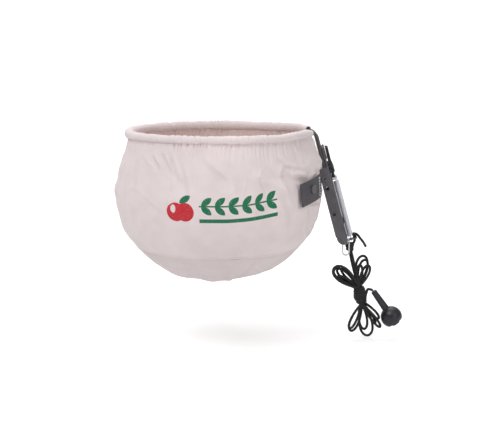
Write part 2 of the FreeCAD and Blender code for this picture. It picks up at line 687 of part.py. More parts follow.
def bag_side():
    """Side panel of the bag, bellied below the hoop, with a gap beside the bracket."""
    outer, inner = bag_section([
        (100.6, 4.6), (103.5, 17.0), (108.5, 35.0), (112.6, 50.0), (113.8, 61.0),
        (112.8, 74.0), (108.0, 91.0), (99.5, 109.0), (SEAM_RADIUS, SEAM_DROP),
    ])
    edges = [
        smooth_edge(outer),
        smooth_edge(inner),
        Part.makeLine(outer[0], inner[0]),
        Part.makeLine(outer[-1], inner[-1]),
    ]
    rim = HOOP_CENTRE.z
    gap = [(-23.0, rim, 0), (-16.0, rim - 36.0, 6), (16.0, rim - 36.0, 6), (23.0, rim, 0)]
    return turn_section(edges).cut(plate_across_x(gap, -60.0, 20.0))


def bag_base():
    """Dished round base panel sewn to the side panel."""
    rim = HOOP_CENTRE.z
    drops = [(SEAM_RADIUS, SEAM_DROP), (77.0, 136.0), (60.0, 146.0), (38.0, 156.0), (18.0, 161.5)]
    outer = [V(BAG_AXIS_X + r, 0, rim - drop) for r, drop in drops]
    outer.append(V(BAG_AXIS_X, 0, rim - 163.0))
    inner = [V(BAG_AXIS_X + r - CLOTH, 0, rim - drop) for r, drop in drops[:1]]
    inner += [V(BAG_AXIS_X + r - 0.6, 0, rim - drop + 1.1) for r, drop in drops[1:]]
    inner.append(V(BAG_AXIS_X, 0, rim - 163.0 + CLOTH))
    edges = [
        smooth_edge(outer),
        smooth_edge(inner),
        Part.makeLine(outer[0], inner[0]),
        Part.makeLine(outer[-1], inner[-1]),
    ]
    return turn_section(edges)


# ---- Fastening strap ----

def radial(azimuth_deg):
    """Unit vector that points out from the bag's axis."""
    return V(math.cos(math.radians(azimuth_deg)), math.sin(math.radians(azimuth_deg)), 0)


def stud_disc(radius, r_from, r_to):
    """A short cylinder on the press stud's axis, between two distances from the bag's axis."""
    out = radial(STUD_DEG)
    base = V(BAG_AXIS_X, 0, STUD_Z) + out * r_from
    return Part.makeCylinder(radius, r_to - r_from, base, out)


def strap_tab():
    """Leather tab that lies round the bag's side beside the bracket, its free end drooping."""
    height = 3 * STRAP_WIDTH
    base = V(BAG_AXIS_X, 0, STRAP_MID_Z - height / 2)
    outer = Part.makeCylinder(STRAP_RADIUS + LEATHER, height, base, Z_AXIS)
    shell = outer.cut(Part.makeCylinder(STRAP_RADIUS, height, base, Z_AXIS))
    blank = block((STRAP_RADIUS / 2, STRAP_RADIUS + 5), (-STRAP_LENGTH / 2, STRAP_LENGTH / 2),
                  (-STRAP_WIDTH / 2, STRAP_WIDTH / 2))
    blank.rotate(ORIGIN, X_AXIS, STRAP_DROOP)
    blank.rotate(ORIGIN, Z_AXIS, STRAP_MID_DEG)
    blank.translate(V(BAG_AXIS_X, 0, STRAP_MID_Z))
    return shell.common(blank).cut(stud_disc(STUD_SHANK, STRAP_RADIUS - 5, STRAP_RADIUS + 5))


def stud_cap():
    """Cap of the press stud, riveted through the leather tab."""
    outside = STRAP_RADIUS + LEATHER + 0.05
    cap = stud_disc(STUD_RADIUS, outside, outside + 1.8)
    return cap.fuse(stud_disc(STUD_SHANK, STRAP_RADIUS, outside)).removeSplitter()


def stud_socket():
    """Other half of the press stud, fixed to the bag's side panel."""
    flange = stud_disc(STUD_RADIUS, 114.05, 115.0)
    return flange.fuse(stud_disc(2.0, 115.0, 115.8)).removeSplitter()


PIECES = {
    "head_bracket": pole_frame(head_bracket()),
    "pole_stop_pin": pole_frame(pole_stop_pin()),
    "hoop": hoop(),
    "hoop_saddle": pole_frame(hoop_saddle()),
    "saddle_rivets": pole_frame(saddle_rivets()),
    "fixed_blade": pole_frame(fixed_blade()),
    "fixed_blade_rivets": pole_frame(fixed_blade_rivets()),
    "pivot_bolt": pole_frame(pivot_bolt()),
    "pivot_spacer": pole_frame(pivot_spacer()),
    "pivot_washer": pole_frame(pivot_washer()),
    "pivot_nut": pole_frame(pivot_nut()),
    "guide_pin": pole_frame(guide_pin()),
    "return_spring": pole_frame(return_spring()),
    "bag_hem": bag_hem(),
    "bag_side": bag_side(),
    "bag_base": bag_base(),
    "stud_socket": stud_socket(),
    "moving_blade": pole_frame(moving_blade()),
    "pull_bar": pole_frame(pull_bar()),
    "drive_pin": pole_frame(drive_pin()),
    "cord_knot": pole_frame(cord_knot()),
    "cord_guide_ring": pole_frame(cord_guide_ring()),
    "cord_hank": cord_hank(),
    "pull_knob": pull_knob(),
    "knob_cap": knob_cap(),
    "cord_end_knot": cord_end_knot(),
    "strap_tab": strap_tab(),
    "stud_cap": stud_cap(),
}

os.makedirs("parts", exist_ok=True)
for name, shape in PIECES.items():
    shape.exportStep(os.path.join("parts", name + ".step"))
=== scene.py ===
import json
import math
import random

import bpy
import numpy as np
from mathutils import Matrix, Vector, noise


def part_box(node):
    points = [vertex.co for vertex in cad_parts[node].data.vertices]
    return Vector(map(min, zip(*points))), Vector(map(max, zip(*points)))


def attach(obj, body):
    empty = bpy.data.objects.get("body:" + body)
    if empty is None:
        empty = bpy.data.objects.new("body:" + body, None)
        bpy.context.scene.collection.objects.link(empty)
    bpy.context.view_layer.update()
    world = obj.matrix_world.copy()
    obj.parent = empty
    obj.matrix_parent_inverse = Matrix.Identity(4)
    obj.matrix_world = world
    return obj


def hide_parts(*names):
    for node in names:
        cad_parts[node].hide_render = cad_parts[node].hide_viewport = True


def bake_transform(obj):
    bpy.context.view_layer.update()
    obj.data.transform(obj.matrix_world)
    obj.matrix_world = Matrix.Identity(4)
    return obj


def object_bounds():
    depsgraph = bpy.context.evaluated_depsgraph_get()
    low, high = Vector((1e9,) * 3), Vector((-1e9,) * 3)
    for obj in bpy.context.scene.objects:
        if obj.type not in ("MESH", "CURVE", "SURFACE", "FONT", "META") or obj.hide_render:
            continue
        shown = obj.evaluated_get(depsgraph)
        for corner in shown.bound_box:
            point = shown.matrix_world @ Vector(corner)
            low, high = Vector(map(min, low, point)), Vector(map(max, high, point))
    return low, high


# Looks of the fruit picker basket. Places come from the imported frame, or are named values in it.
# Lengths are metres, or millimetres in names ending in _MM; angles are radians, or degrees in _DEG.

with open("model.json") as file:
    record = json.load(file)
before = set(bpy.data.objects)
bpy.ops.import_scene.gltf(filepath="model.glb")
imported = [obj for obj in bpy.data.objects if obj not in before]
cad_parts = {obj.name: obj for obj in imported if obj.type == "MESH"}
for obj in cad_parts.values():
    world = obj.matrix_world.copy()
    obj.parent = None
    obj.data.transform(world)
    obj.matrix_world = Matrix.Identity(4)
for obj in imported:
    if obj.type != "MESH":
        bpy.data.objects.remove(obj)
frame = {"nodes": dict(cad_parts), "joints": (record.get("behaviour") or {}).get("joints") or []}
cad_low, cad_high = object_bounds()
MM = 0.001
draw = random.Random(11)

# ---- Places ----

hem_low, hem_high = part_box("bag_hem")
side_low, side_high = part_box("bag_side")
base_low, base_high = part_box("bag_base")

HEM_TUBE = 4.4 * MM
SEAM_FULLNESS = 3.5 * MM  # how far the cloth stands out past the CAD base panel at its seam
U_RADIUS = 108 * MM  # radius at which distances round the bag are measured
HOOP_RADIUS = (hem_high.y - hem_low.y) / 2 - HEM_TUBE
HOOP_CENTRE = Vector((hem_low.x + HOOP_RADIUS + HEM_TUBE, 0, hem_low.z + HEM_TUBE))
BAG_AXIS = Vector((side_low.x + (side_high.y - side_low.y) / 2, 0, 0))
RIM_Z = HOOP_CENTRE.z
SEAM_DROP = RIM_Z - side_low.z
SEAM_RADIUS = (base_high.y - base_low.y) / 2 + SEAM_FULLNESS
BASE_DEPTH = side_low.z - base_low.z

joints = {joint["name"]: joint for joint in frame["joints"]}
POLE_UP = -Vector(joints["cord_pull"]["axis"])
POLE_OUT = Vector((POLE_UP.z, 0, -POLE_UP.x))


def centre_of(node):
    """The middle of a CAD node's box."""
    low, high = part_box(node)
    return (low + high) / 2


def pole_point(out, y, up):
    """A point from millimetres outward, across and up the leaning pole."""
    return POLE_OUT * (out * MM) + Vector((0, y * MM, 0)) + POLE_UP * (up * MM)


# The leather tab, on a cylinder round the bag's axis, and the cloth held back behind it.
TAB_RADIUS_MM = 116.0
TAB_MID_DEG = -28.25
TAB_MID_Z_MM = (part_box("strap_tab")[0].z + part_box("strap_tab")[1].z) / 2 / MM
TAB_LENGTH_MM, TAB_WIDTH_MM, TAB_DROOP_DEG = 50.0, 25.5, 8.0
TAB_GAP_MM = 2.2  # between the tab and the cloth behind it
TAB_MARGIN_MM = 3.0  # past the tab's edges, still held back as much
TAB_EASE = 0.8  # how fast the cloth may come out again beyond that


# ---- Curves and meshes ----

def through(points, samples):
    """A smooth curve of evenly spread samples through the points (centripetal spacing)."""
    pts = np.array([tuple(p) for p in points], float)
    steps = np.linalg.norm(np.diff(pts, axis=0), axis=1) ** 0.5
    knots = np.concatenate([[0], np.cumsum(np.maximum(steps, 1e-9))])
    slopes = np.gradient(pts, knots, axis=0)
    fine = np.linspace(0, knots[-1], samples * 4)
    k = np.clip(np.searchsorted(knots, fine, side="right") - 1, 0, len(pts) - 2)
    h = (knots[k + 1] - knots[k])[:, None]
    t = ((fine - knots[k])[:, None]) / h
    a = (2 * t**3 - 3 * t**2 + 1) * pts[k] + (t**3 - 2 * t**2 + t) * h * slopes[k]
    b = (3 * t**2 - 2 * t**3) * pts[k + 1] + (t**3 - t**2) * h * slopes[k + 1]
    curve = a + b
    length = np.concatenate([[0], np.cumsum(np.linalg.norm(np.diff(curve, axis=0), axis=1))])
    even = np.linspace(0, length[-1], samples)
    return np.stack([np.interp(even, length, curve[:, i]) for i in range(3)], axis=1)


def frames_along(line):
    """Two unit vectors across the line at each point, carried along without twist."""
    tangents = np.gradient(line, axis=0)
    tangents /= np.linalg.norm(tangents, axis=1)[:, None]
    start = np.array([0.0, 0.0, 1.0]) if abs(tangents[0][2]) < 0.9 else np.array([1.0, 0.0, 0.0])
    side = np.cross(tangents[0], start)
    sides = []
    for tangent in tangents:
        side = side - tangent * side.dot(tangent)
        side /= np.linalg.norm(side)
        sides.append(side)
    sides = np.array(sides)
    return sides, np.cross(tangents, sides)


def grid(points, closed=False, u=None, v=None, caps=False):
    """Quads over rows of points: (vertices, faces, one UV in metres per face corner)."""
    rows, cols = points.shape[:2]
    span = cols if closed else cols - 1
    u = np.arange(span + 1) * MM if u is None else np.asarray(u)
    v = np.arange(rows) * MM if v is None else np.asarray(v)
    i, j = np.meshgrid(np.arange(rows - 1), np.arange(span), indexing="ij")
    i, j = i.ravel(), j.ravel()
    after = (j + 1) % cols
    faces = np.stack([i * cols + j, i * cols + after, (i + 1) * cols + after, (i + 1) * cols + j], 1)
    corners = [(j, i), (j + 1, i), (j + 1, i + 1), (j, i + 1)]
    uvs = np.stack([np.stack([u[a], v[b]], 1) for a, b in corners], 1).reshape(-1, 2).tolist()
    faces = faces.tolist()
    if caps:
        faces.append(list(range(cols))[::-1])
        faces.append([(rows - 1) * cols + c for c in range(cols)])
        uvs += [(0.0, 0.0)] * (2 * cols)
    return points.reshape(-1, 3), faces, uvs


def tube(line, radius, sides=10):
    """A round cord, thread or wire along a line of points, closed at its ends."""
    line = np.asarray(line, float)
    across, up = frames_along(line)
    radii = np.broadcast_to(np.asarray(radius, float), (len(line),))
    angles = np.linspace(0, 2 * math.pi, sides, endpoint=False)
    ring = np.cos(angles)[None, :, None] * across[:, None] + np.sin(angles)[None, :, None] * up[:, None]
    points = line[:, None] + ring * radii[:, None, None]
    along = np.concatenate([[0], np.cumsum(np.linalg.norm(np.diff(line, axis=0), axis=1))])
    around = np.linspace(0, 2 * math.pi * radii.mean(), sides + 1)
    return grid(points, closed=True, u=around, v=along, caps=True)


def make(name, material, *parts):
    """One smooth mesh object from one or more (vertices, faces, uvs) parts."""
    verts, faces, uvs, offset = [], [], [], 0
    for part_verts, part_faces, part_uvs in parts:
        verts.append(np.asarray(part_verts))
        faces += [[k + offset for k in face] for face in part_faces]
        uvs += part_uvs
        offset += len(part_verts)
    mesh = bpy.data.meshes.new(name)
    mesh.from_pydata(np.concatenate(verts).tolist(), [], faces)
    layer = mesh.uv_layers.new(name="UVMap")
    layer.data.foreach_set("uv", np.array(uvs, float).ravel())
    mesh.polygons.foreach_set("use_smooth", [True] * len(mesh.polygons))
    mesh.materials.append(material)
    piece = bpy.data.objects.new(name, mesh)
    bpy.context.scene.collection.objects.link(piece)
    return piece


def stitches(line, outward, length, gap, radius):
    """Sewn stitches along a line on a surface: each rises a little and dips in at its ends."""
    line = np.asarray(line, float)
    outward = np.asarray(outward, float)
    along = np.concatenate([[0], np.cumsum(np.linalg.norm(np.diff(line, axis=0), axis=1))])
    parts = []
    at = gap / 2
    while at + length < along[-1]:
        spots = np.linspace(at, at + length, 6)
        rise = radius * (2.0 * np.sin(np.linspace(0, math.pi, 6)) - 0.9)
        middle = np.stack([np.interp(spots, along, line[:, i]) for i in range(3)], axis=1)
        normal = np.stack([np.interp(spots, along, outward[:, i]) for i in range(3)], axis=1)
        parts.append(tube(middle + normal * rise[:, None], radius, 6))
        at += length + gap
    return parts


def modified(piece, kind, **settings):
    """Add a modifier with its settings."""
    modifier = piece.modifiers.new(kind.lower(), kind)
    for key, value in settings.items():
        setattr(modifier, key, value)


def bake_modifiers(piece):
    """Turn the modified mesh into the piece's own mesh."""
    graph = bpy.context.evaluated_depsgraph_get()
    mesh = bpy.data.meshes.new_from_object(piece.evaluated_get(graph))
    piece.modifiers.clear()
    piece.data = mesh
    return piece


# ---- Materials ----

class Shader:
    """A material built from nodes."""

    def __init__(self, name, color, roughness, metallic=0.0):
        """Start from plain settings."""
        self.material = bpy.data.materials.new(name)
        self.material.use_nodes = True
        self.tree = self.material.node_tree
        self.surface = self.tree.nodes["Principled BSDF"]
        self.set("Base Color", (*color, 1))
        self.set("Roughness", roughness)
        self.set("Metallic", metallic)

    def set(self, name, value):
        """Link or set one input of the surface."""
        self.plug(self.surface.inputs[name], value)

    def plug(self, socket, value):
        """Link or set one socket."""
        if isinstance(value, bpy.types.NodeSocket):
            self.tree.links.new(value, socket)
        else:
            socket.default_value = value

    def node(self, kind, inputs=None, **settings):
        """Add any node with its inputs and settings."""
        made = self.tree.nodes.new(kind)
        for key, value in settings.items():
            setattr(made, key, value)
        for key, value in (inputs or {}).items():
            self.plug(made.inputs[key], value)
        return made

    def math(self, operation, a, b=0.0):
        """One operation on two values."""
        return self.node("ShaderNodeMath", {0: a, 1: b}, operation=operation).outputs[0]

    def ramp(self, value, low, high, to_low=0.0, to_high=1.0):
        """Stretch low..high to to_low..to_high, held at both ends."""
        made = self.node("ShaderNodeMapRange", {
            "Value": value, "From Min": low, "From Max": high, "To Min": to_low, "To Max": to_high})
        return made.outputs["Result"]

    def mix(self, share, a, b):
        """Colour a, turning to b as the share goes from 0 to 1."""
        made = self.node("ShaderNodeMix", data_type="RGBA")
        self.plug(made.inputs["Factor"], share)
        self.plug(made.inputs[6], a if isinstance(a, bpy.types.NodeSocket) else (*a, 1))
        self.plug(made.inputs[7], b if isinstance(b, bpy.types.NodeSocket) else (*b, 1))
        return made.outputs[2]

    def noise(self, scale, detail=3.0, coords=None, stretch=None):
        """Cloudy noise over the object, or over other coordinates."""
        inputs = {"Scale": scale, "Detail": detail}
        if coords is None:
            coords = self.node("ShaderNodeTexCoord").outputs["Object"]
        if stretch is not None:
            coords = self.node("ShaderNodeMapping", {"Vector": coords, "Scale": stretch}).outputs[0]
        inputs["Vector"] = coords
        return self.node("ShaderNodeTexNoise", inputs).outputs["Fac"]

    def bump(self, height, distance, strength=1.0):
        """Raise the surface's shading by a height pattern."""
        made = self.node("ShaderNodeBump", {"Height": height, "Distance": distance, "Strength": strength})
        self.set("Normal", made.outputs[0])

    def edges(self, radius):
        """Near 1 along sharp edges, near 0 on flat faces."""
        rounded = self.node("ShaderNodeBevel", {"Radius": radius}, samples=4).outputs[0]
        flat = self.node("ShaderNodeNewGeometry").outputs["Normal"]
        facing = self.node("ShaderNodeVectorMath", {0: rounded, 1: flat}, operation="DOT_PRODUCT")
        return self.ramp(facing.outputs["Value"], 0.995, 0.9)


CANVAS = (0.83, 0.725, 0.725)
WEAVE_PITCH = 0.9 * MM


def canvas_color(s, uv):
    """Off-white cotton: threads, slubs and faint uneven shade. Gives (colour, bump height)."""
    parts = s.node("ShaderNodeSeparateXYZ", {"Vector": uv})
    warp = s.math("SINE", s.math("MULTIPLY", parts.outputs[0], 2 * math.pi / WEAVE_PITCH))
    weft = s.math("SINE", s.math("MULTIPLY", parts.outputs[1], 2 * math.pi / WEAVE_PITCH))
    weave = s.math("MULTIPLY", warp, weft)
    slub_up = s.noise(260.0, 2.0, uv, (4.0, 0.35, 1.0))
    slub_across = s.noise(260.0, 2.0, uv, (0.35, 4.0, 1.0))
    slubs = s.math("ADD", slub_up, slub_across)
    cloud = s.noise(14.0, 3.0)
    rubbed = s.noise(75.0, 4.0)
    patchy = s.mix(s.ramp(cloud, 0.35, 0.68), [c * 0.93 for c in CANVAS], [c * 1.03 for c in CANVAS])
    pale = s.mix(s.ramp(rubbed, 0.35, 0.65, 0.0, 0.09), patchy, [c * 0.55 for c in CANVAS])
    color = s.mix(s.ramp(slubs, 0.7, 1.35, 0.0, 0.16), pale, [c * 0.8 for c in CANVAS])
    height = s.math("ADD", s.math("MULTIPLY", weave, 0.25), slubs)
    return color, height


def inner_face_painted_shade(s, color):
    """Painted shade: the cloth's inner face, which faces the bag's axis, made darker and browner than its
    outer one.
    """
    place = s.node("ShaderNodeTexCoord").outputs["Object"]
    away = s.node("ShaderNodeVectorMath", {0: place, 1: (BAG_AXIS.x, 0, 0)}, operation="SUBTRACT")
    level = s.node("ShaderNodeVectorMath", {0: away.outputs[0], 1: (1, 1, 0)}, operation="MULTIPLY")
    normal = s.node("ShaderNodeNewGeometry").outputs["True Normal"]
    facing = s.node("ShaderNodeVectorMath", {0: level.outputs[0], 1: normal}, operation="DOT_PRODUCT")
    inward = s.ramp(facing.outputs["Value"], 0.0, -0.02)
    return s.mix(inward, color, [CANVAS[0] * 0.97, CANVAS[1] * 0.93, CANVAS[2] * 0.88])


def canvas_material(name, shade=1.0, printed=False):
    """Plain woven cotton, with the fruit and branch print on the bag's front and painted shade on its inner
    face if asked; a shade below 1 darkens it all as painted shade.
    """
    s = Shader(name, CANVAS, 0.9)
    uv = s.node("ShaderNodeUVMap").outputs[0]
    color, height = canvas_color(s, uv)
    # A shade below 1 darkens the whole cloth: painted shade, as on the base panel that faces down.
    color = s.mix(1.0 - shade, color, (0.0, 0.0, 0.0))
    if printed:
        # The printed panel's inner face gets painted shade.
        color = inner_face_painted_shade(s, fruit_print(s, uv, color))
    s.set("Base Color", color)
    s.set("Sheen Weight", 0.15)
    s.set("Sheen Roughness", 0.6)
    s.bump(height, 0.00022, 0.7)
    return s.material


PRINT_RED = (0.56, 0.012, 0.025)
PRINT_GREEN = (0.001, 0.155, 0.065)
# The print's own origin on the cloth, and its parts in millimetres from there.
PRINT_U = math.radians(108.5) * U_RADIUS
PRINT_V = -72 * MM
FRUIT_RADIUS_MM, FRUIT_SPREAD_MM, FRUIT_Y_MM = 9.2, 4.6, -1.5
BRANCH_START_MM, BRANCH_Y_MM = 19.0, 5.0
LEAF_PITCH_MM, LEAF_PAIRS = 13.2, 6
RISE_FROM_MM, RISE_RATE = 40, 0.0016
BAR_LOW_MM, BAR_HIGH_MM = -17.5, -13.5
INK_EDGE_MM = 0.35  # how wide the print's edges fade


def disc_mask(s, x, y, centre, radius, stretch=1.0):
    """1 inside an ellipse, in print millimetres."""
    dx = s.math("SUBTRACT", x, centre[0])
    dy = s.math("MULTIPLY", s.math("SUBTRACT", y, centre[1]), stretch)
    far = s.math("SQRT", s.math("ADD", s.math("MULTIPLY", dx, dx), s.math("MULTIPLY", dy, dy)))
    return s.ramp(far, radius + INK_EDGE_MM / 2, radius - INK_EDGE_MM / 2)


def leaf_mask(s, x, y, centre, angle_deg, length, width):
    """1 inside a pointed leaf: where two large discs overlap."""
    c, n = math.cos(math.radians(angle_deg)), math.sin(math.radians(angle_deg))
    dx, dy = s.math("SUBTRACT", x, centre[0]), s.math("SUBTRACT", y, centre[1])
    along = s.math("ADD", s.math("MULTIPLY", dx, c), s.math("MULTIPLY", dy, n))
    across = s.math("SUBTRACT", s.math("MULTIPLY", dy, c), s.math("MULTIPLY", dx, n))
    radius = (length**2 / 4 + width**2 / 4) / width
    offset = radius - width / 2
    upper = disc_mask(s, along, across, (0, -offset), radius)
    lower = disc_mask(s, along, across, (0, offset), radius)
    return s.math("MULTIPLY", upper, lower)


def band_mask(s, value, low, high):
    """1 between two values."""
    rise = s.ramp(value, low - INK_EDGE_MM / 2, low + INK_EDGE_MM / 2)
    fall = s.ramp(value, high + INK_EDGE_MM / 2, high - INK_EDGE_MM / 2)
    return s.math("MULTIPLY", rise, fall)


def fruit_print(s, uv, cloth):
    """A plain red fruit with a leaf, and a green branch of leaf pairs with a bar below it."""
    parts = s.node("ShaderNodeSeparateXYZ", {"Vector": uv})
    x = s.math("MULTIPLY", s.math("SUBTRACT", PRINT_U, parts.outputs[0]), 1000)
    y = s.math("MULTIPLY", s.math("SUBTRACT", parts.outputs[1], PRINT_V), 1000)
    wear = s.ramp(s.noise(700.0, 2.0), 0.25, 0.45, 0.86, 1.0)

    left = disc_mask(s, x, y, (-FRUIT_SPREAD_MM, FRUIT_Y_MM), FRUIT_RADIUS_MM, 0.92)
    right = disc_mask(s, x, y, (FRUIT_SPREAD_MM, FRUIT_Y_MM), FRUIT_RADIUS_MM, 0.92)
    fruit = s.math("MAXIMUM", left, right)
    shine = disc_mask(s, x, y, (-7.0, 2.0), 2.6, 0.6)
    fruit = s.math("MULTIPLY", fruit, s.math("SUBTRACT", 1.0, shine))
    leaf = leaf_mask(s, x, y, (5.0, 12.0), 35, 13, 6.5)

    past = s.math("MAXIMUM", s.math("SUBTRACT", x, RISE_FROM_MM), 0.0)
    lift = s.math("MULTIPLY", s.math("POWER", past, 2.0), RISE_RATE)
    branch_y = s.math("SUBTRACT", s.math("SUBTRACT", y, lift), BRANCH_Y_MM)
    pairs = s.math("DIVIDE", s.math("SUBTRACT", x, BRANCH_START_MM), LEAF_PITCH_MM)
    cell = s.math("SUBTRACT", s.math("FRACT", pairs), 0.5)
    cell_x = s.math("MULTIPLY", cell, LEAF_PITCH_MM)
    pair_y = s.math("ABSOLUTE", branch_y)
    leaves = leaf_mask(s, cell_x, pair_y, (0.6, 4.6), 42, 13.2, 6.4)
    stem = band_mask(s, branch_y, -0.8, 0.8)
    branch = s.math("MAXIMUM", leaves, stem)
    bar = band_mask(s, branch_y, BAR_LOW_MM, BAR_HIGH_MM)
    reach = band_mask(s, x, BRANCH_START_MM, BRANCH_START_MM + LEAF_PAIRS * LEAF_PITCH_MM)
    branch = s.math("MULTIPLY", s.math("MAXIMUM", branch, bar), reach)
    green = s.math("MAXIMUM", leaf, branch)

    color = s.mix(s.math("MULTIPLY", fruit, wear), cloth, PRINT_RED)
    return s.mix(s.math("MULTIPLY", green, wear), color, PRINT_GREEN)


def paint_material():
    """Dark grey sprayed paint, slightly mottled, worn to steel along its edges."""
    s = Shader("grey_paint", (0.088, 0.08, 0.093), 0.42)
    mottle = s.noise(90.0, 4.0)
    base = s.mix(s.ramp(mottle, 0.3, 0.7), (0.075, 0.068, 0.08), (0.105, 0.097, 0.11))
    scratch = s.ramp(s.noise(900.0, 2.0), 0.45, 0.62)
    worn = s.math("MULTIPLY", s.edges(0.0006), scratch)
    s.set("Base Color", s.mix(worn, base, (0.36, 0.36, 0.37)))
    s.set("Metallic", s.math("MULTIPLY", worn, 0.8))
    s.set("Roughness", s.ramp(mottle, 0.2, 0.8, 0.34, 0.52))
    s.bump(s.noise(1500.0, 2.0), 0.00006, 0.6)
    return s.material


def steel_material(name, color, roughness, dirt=0.25, metallic=1.0):
    """Plated or drawn steel with fine draw marks and a little grime."""
    s = Shader(name, color, roughness, metallic)
    marks = s.noise(420.0, 3.0, None, (1.0, 1.0, 0.08))
    grime = s.ramp(s.noise(120.0, 4.0), 0.48, 0.72, 0.0, dirt)
    s.set("Base Color", s.mix(grime, color, [c * 0.35 for c in color]))
    s.set("Roughness", s.ramp(marks, 0.3, 0.7, roughness * 0.8, roughness * 1.35))
    s.bump(marks, 0.00003, 0.5)
    return s.material


def blade_material():
    """Blackened tool steel with ground, brighter edges."""
    s = Shader("blade_steel", (0.03, 0.028, 0.033), 0.35, 0.6)
    ground = s.math("MULTIPLY", s.edges(0.0005), s.ramp(s.noise(500.0, 2.0), 0.3, 0.55))
    s.set("Base Color", s.mix(ground, (0.022, 0.02, 0.025), (0.3, 0.3, 0.31)))
    s.set("Roughness", s.ramp(s.noise(260.0, 3.0), 0.3, 0.7, 0.28, 0.5))
    s.bump(s.noise(800.0, 2.0), 0.00003, 0.5)
    return s.material


BRAID_RADIUS, BRAID_PITCH = 1.25 * MM, 2.6 * MM


def cord_material():
    """Black braided cord, with the braid following the cord's own UVs and painted shade in the braid's
    grooves.
    """
    s = Shader("cord", (0.012, 0.012, 0.014), 0.72)
    uv = s.node("ShaderNodeUVMap").outputs[0]
    parts = s.node("ShaderNodeSeparateXYZ", {"Vector": uv})
    turn = s.math("MULTIPLY", parts.outputs[0], 3 / BRAID_RADIUS)
    step = s.math("MULTIPLY", parts.outputs[1], 2 * math.pi / BRAID_PITCH)
    one = s.math("SINE", s.math("ADD", step, turn))
    other = s.math("SINE", s.math("SUBTRACT", step, turn))
    braid = s.math("MAXIMUM", one, other)
    # Painted shade: the grooves between the braid's strands are darker than its ridges.
    s.set("Base Color", s.mix(s.ramp(braid, -0.2, 1.0), (0.003, 0.003, 0.004), (0.01, 0.01, 0.012)))
    s.set("Sheen Weight", 0.08)
    s.bump(braid, 0.00018, 0.8)
    return s.material


def plastic_material():
    """Moulded black plastic with a fine grain and scuffs."""
    s = Shader("black_plastic", (0.014, 0.0135, 0.019), 0.38)
    grain = s.noise(1800.0, 2.0)
    scuffs = s.ramp(s.noise(140.0, 5.0), 0.5, 0.75)
    s.set("Base Color", s.mix(scuffs, (0.012, 0.0115, 0.017), (0.028, 0.026, 0.034)))
    s.set("Roughness", s.ramp(scuffs, 0.0, 1.0, 0.34, 0.55))
    s.bump(grain, 0.00004, 0.5)
    return s.material


def leather_material():
    """Dark grey grained leather."""
    s = Shader("leather", (0.06, 0.055, 0.065), 0.5)
    cells = s.node("ShaderNodeTexVoronoi", {"Scale": 900.0}, feature="DISTANCE_TO_EDGE").outputs["Distance"]
    grain = s.math("ADD", s.ramp(cells, 0.0, 0.25), s.noise(500.0, 3.0))
    tone = s.noise(60.0, 3.0)
    s.set("Base Color", s.mix(s.ramp(tone, 0.35, 0.65), (0.05, 0.045, 0.055), (0.078, 0.072, 0.083)))
    s.set("Roughness", s.ramp(tone, 0.3, 0.7, 0.42, 0.6))
    s.bump(grain, 0.00012, 0.7)
    return s.material


def thread_material(name, color):
    """Twisted sewing thread."""
    s = Shader(name, color, 0.8)
    twist = s.noise(2500.0, 1.0)
    s.set("Base Color", s.mix(s.ramp(twist, 0.35, 0.65), [c * 0.82 for c in color], color))
    s.bump(twist, 0.00005, 0.6)
    return s.material


# ---- Bag cloth ----

SIDE_PROFILE_MM = [
    # drop below the hoop, radius
    (0.0, 99.6), (4.6, 100.6), (17.0, 103.5), (35.0, 108.5), (50.0, 112.9), (61.0, 115.0),
    (74.0, 115.0), (91.0, 111.5), (109.0, 104.0), (SEAM_DROP / MM, SEAM_RADIUS / MM),
]
CLOTH_TOP = 2.5 * MM  # drop at which the side panel starts, inside the hem roll
HEM_DROP = 5.6 * MM  # drop at which it comes out below the roll
ROUND_END = math.radians(50)
HOOP_FLARE_MM = [
    # near end of the rod's round part, from the hoop's centre: along X, towards the viewer, up
    (100.0, 22.5, 1.2), (93.6, 35.5, 2.0), (83.7, 54.2, 1.2),
]


def side_radius(drops):
    """Radius of the bag's side at the given drops below the hoop."""
    line = through([(d, r, 0) for d, r in SIDE_PROFILE_MM], 200)
    return np.interp(np.asarray(drops) / MM, line[:, 0], line[:, 1]) * MM


def hoop_line(samples):
    """The rod's centre line inside the hem, from the near hem end round the back to the far one."""
    near = [HOOP_CENTRE + Vector((x, -y, z)) * MM for x, y, z in HOOP_FLARE_MM]
    far = [HOOP_CENTRE + Vector((x, y, z)) * MM for x, y, z in HOOP_FLARE_MM[::-1]]
    arc = [
        HOOP_CENTRE + Vector((math.cos(a), math.sin(a), 0)) * HOOP_RADIUS
        for a in np.linspace(-ROUND_END, ROUND_END - 2 * math.pi, 60)
    ]
    return through(near + arc + far, samples)


def azimuth_of(points):
    """Angle round the bag's axis, from 0 at the bracket through -pi/2 at the near side."""
    angle = np.arctan2(points[..., 1], points[..., 0] - BAG_AXIS.x)
    return np.where(angle > 0, angle - 2 * math.pi, angle)


def wave(x, seed):
    """Smooth random wave of one variable, about -1 to 1."""
    values = [noise.noise(Vector((float(v), seed * 7.3, 0.5))) for v in np.ravel(x)]
    return np.array(values).reshape(np.shape(x))


def field(points, size, seed):
    """Smooth random field over points, about -1 to 1, with features of the given size."""
    shift = Vector((seed * 3.1, seed * 1.7, seed * 5.3))
    values = [noise.noise(Vector(p) / size + shift) for p in points.reshape(-1, 3).tolist()]
    return np.array(values).reshape(points.shape[:-1])


CREASE_WIDTH = 0.09  # as a share of the random field's swing


def creased(points, size, seed, height):
    """Thin wandering creases, as in cloth that has been folded and handled."""
    line = np.exp(-((field(points, size, seed) / CREASE_WIDTH) ** 2))
    where = np.clip(field(points, size * 1.7, seed + 1) * 2.5 + 0.35, 0, 1)
    return line * where * height


def unevenness(points, swells_mm, creases_mm):
    """Slow swells and thin creases added up. Each is a size, a seed and a height."""
    slow = sum(field(points, size * MM, seed) * height * MM for size, seed, height in swells_mm)
    return slow + sum(creased(points, size * MM, seed, height * MM) for size, seed, height in creases_mm)


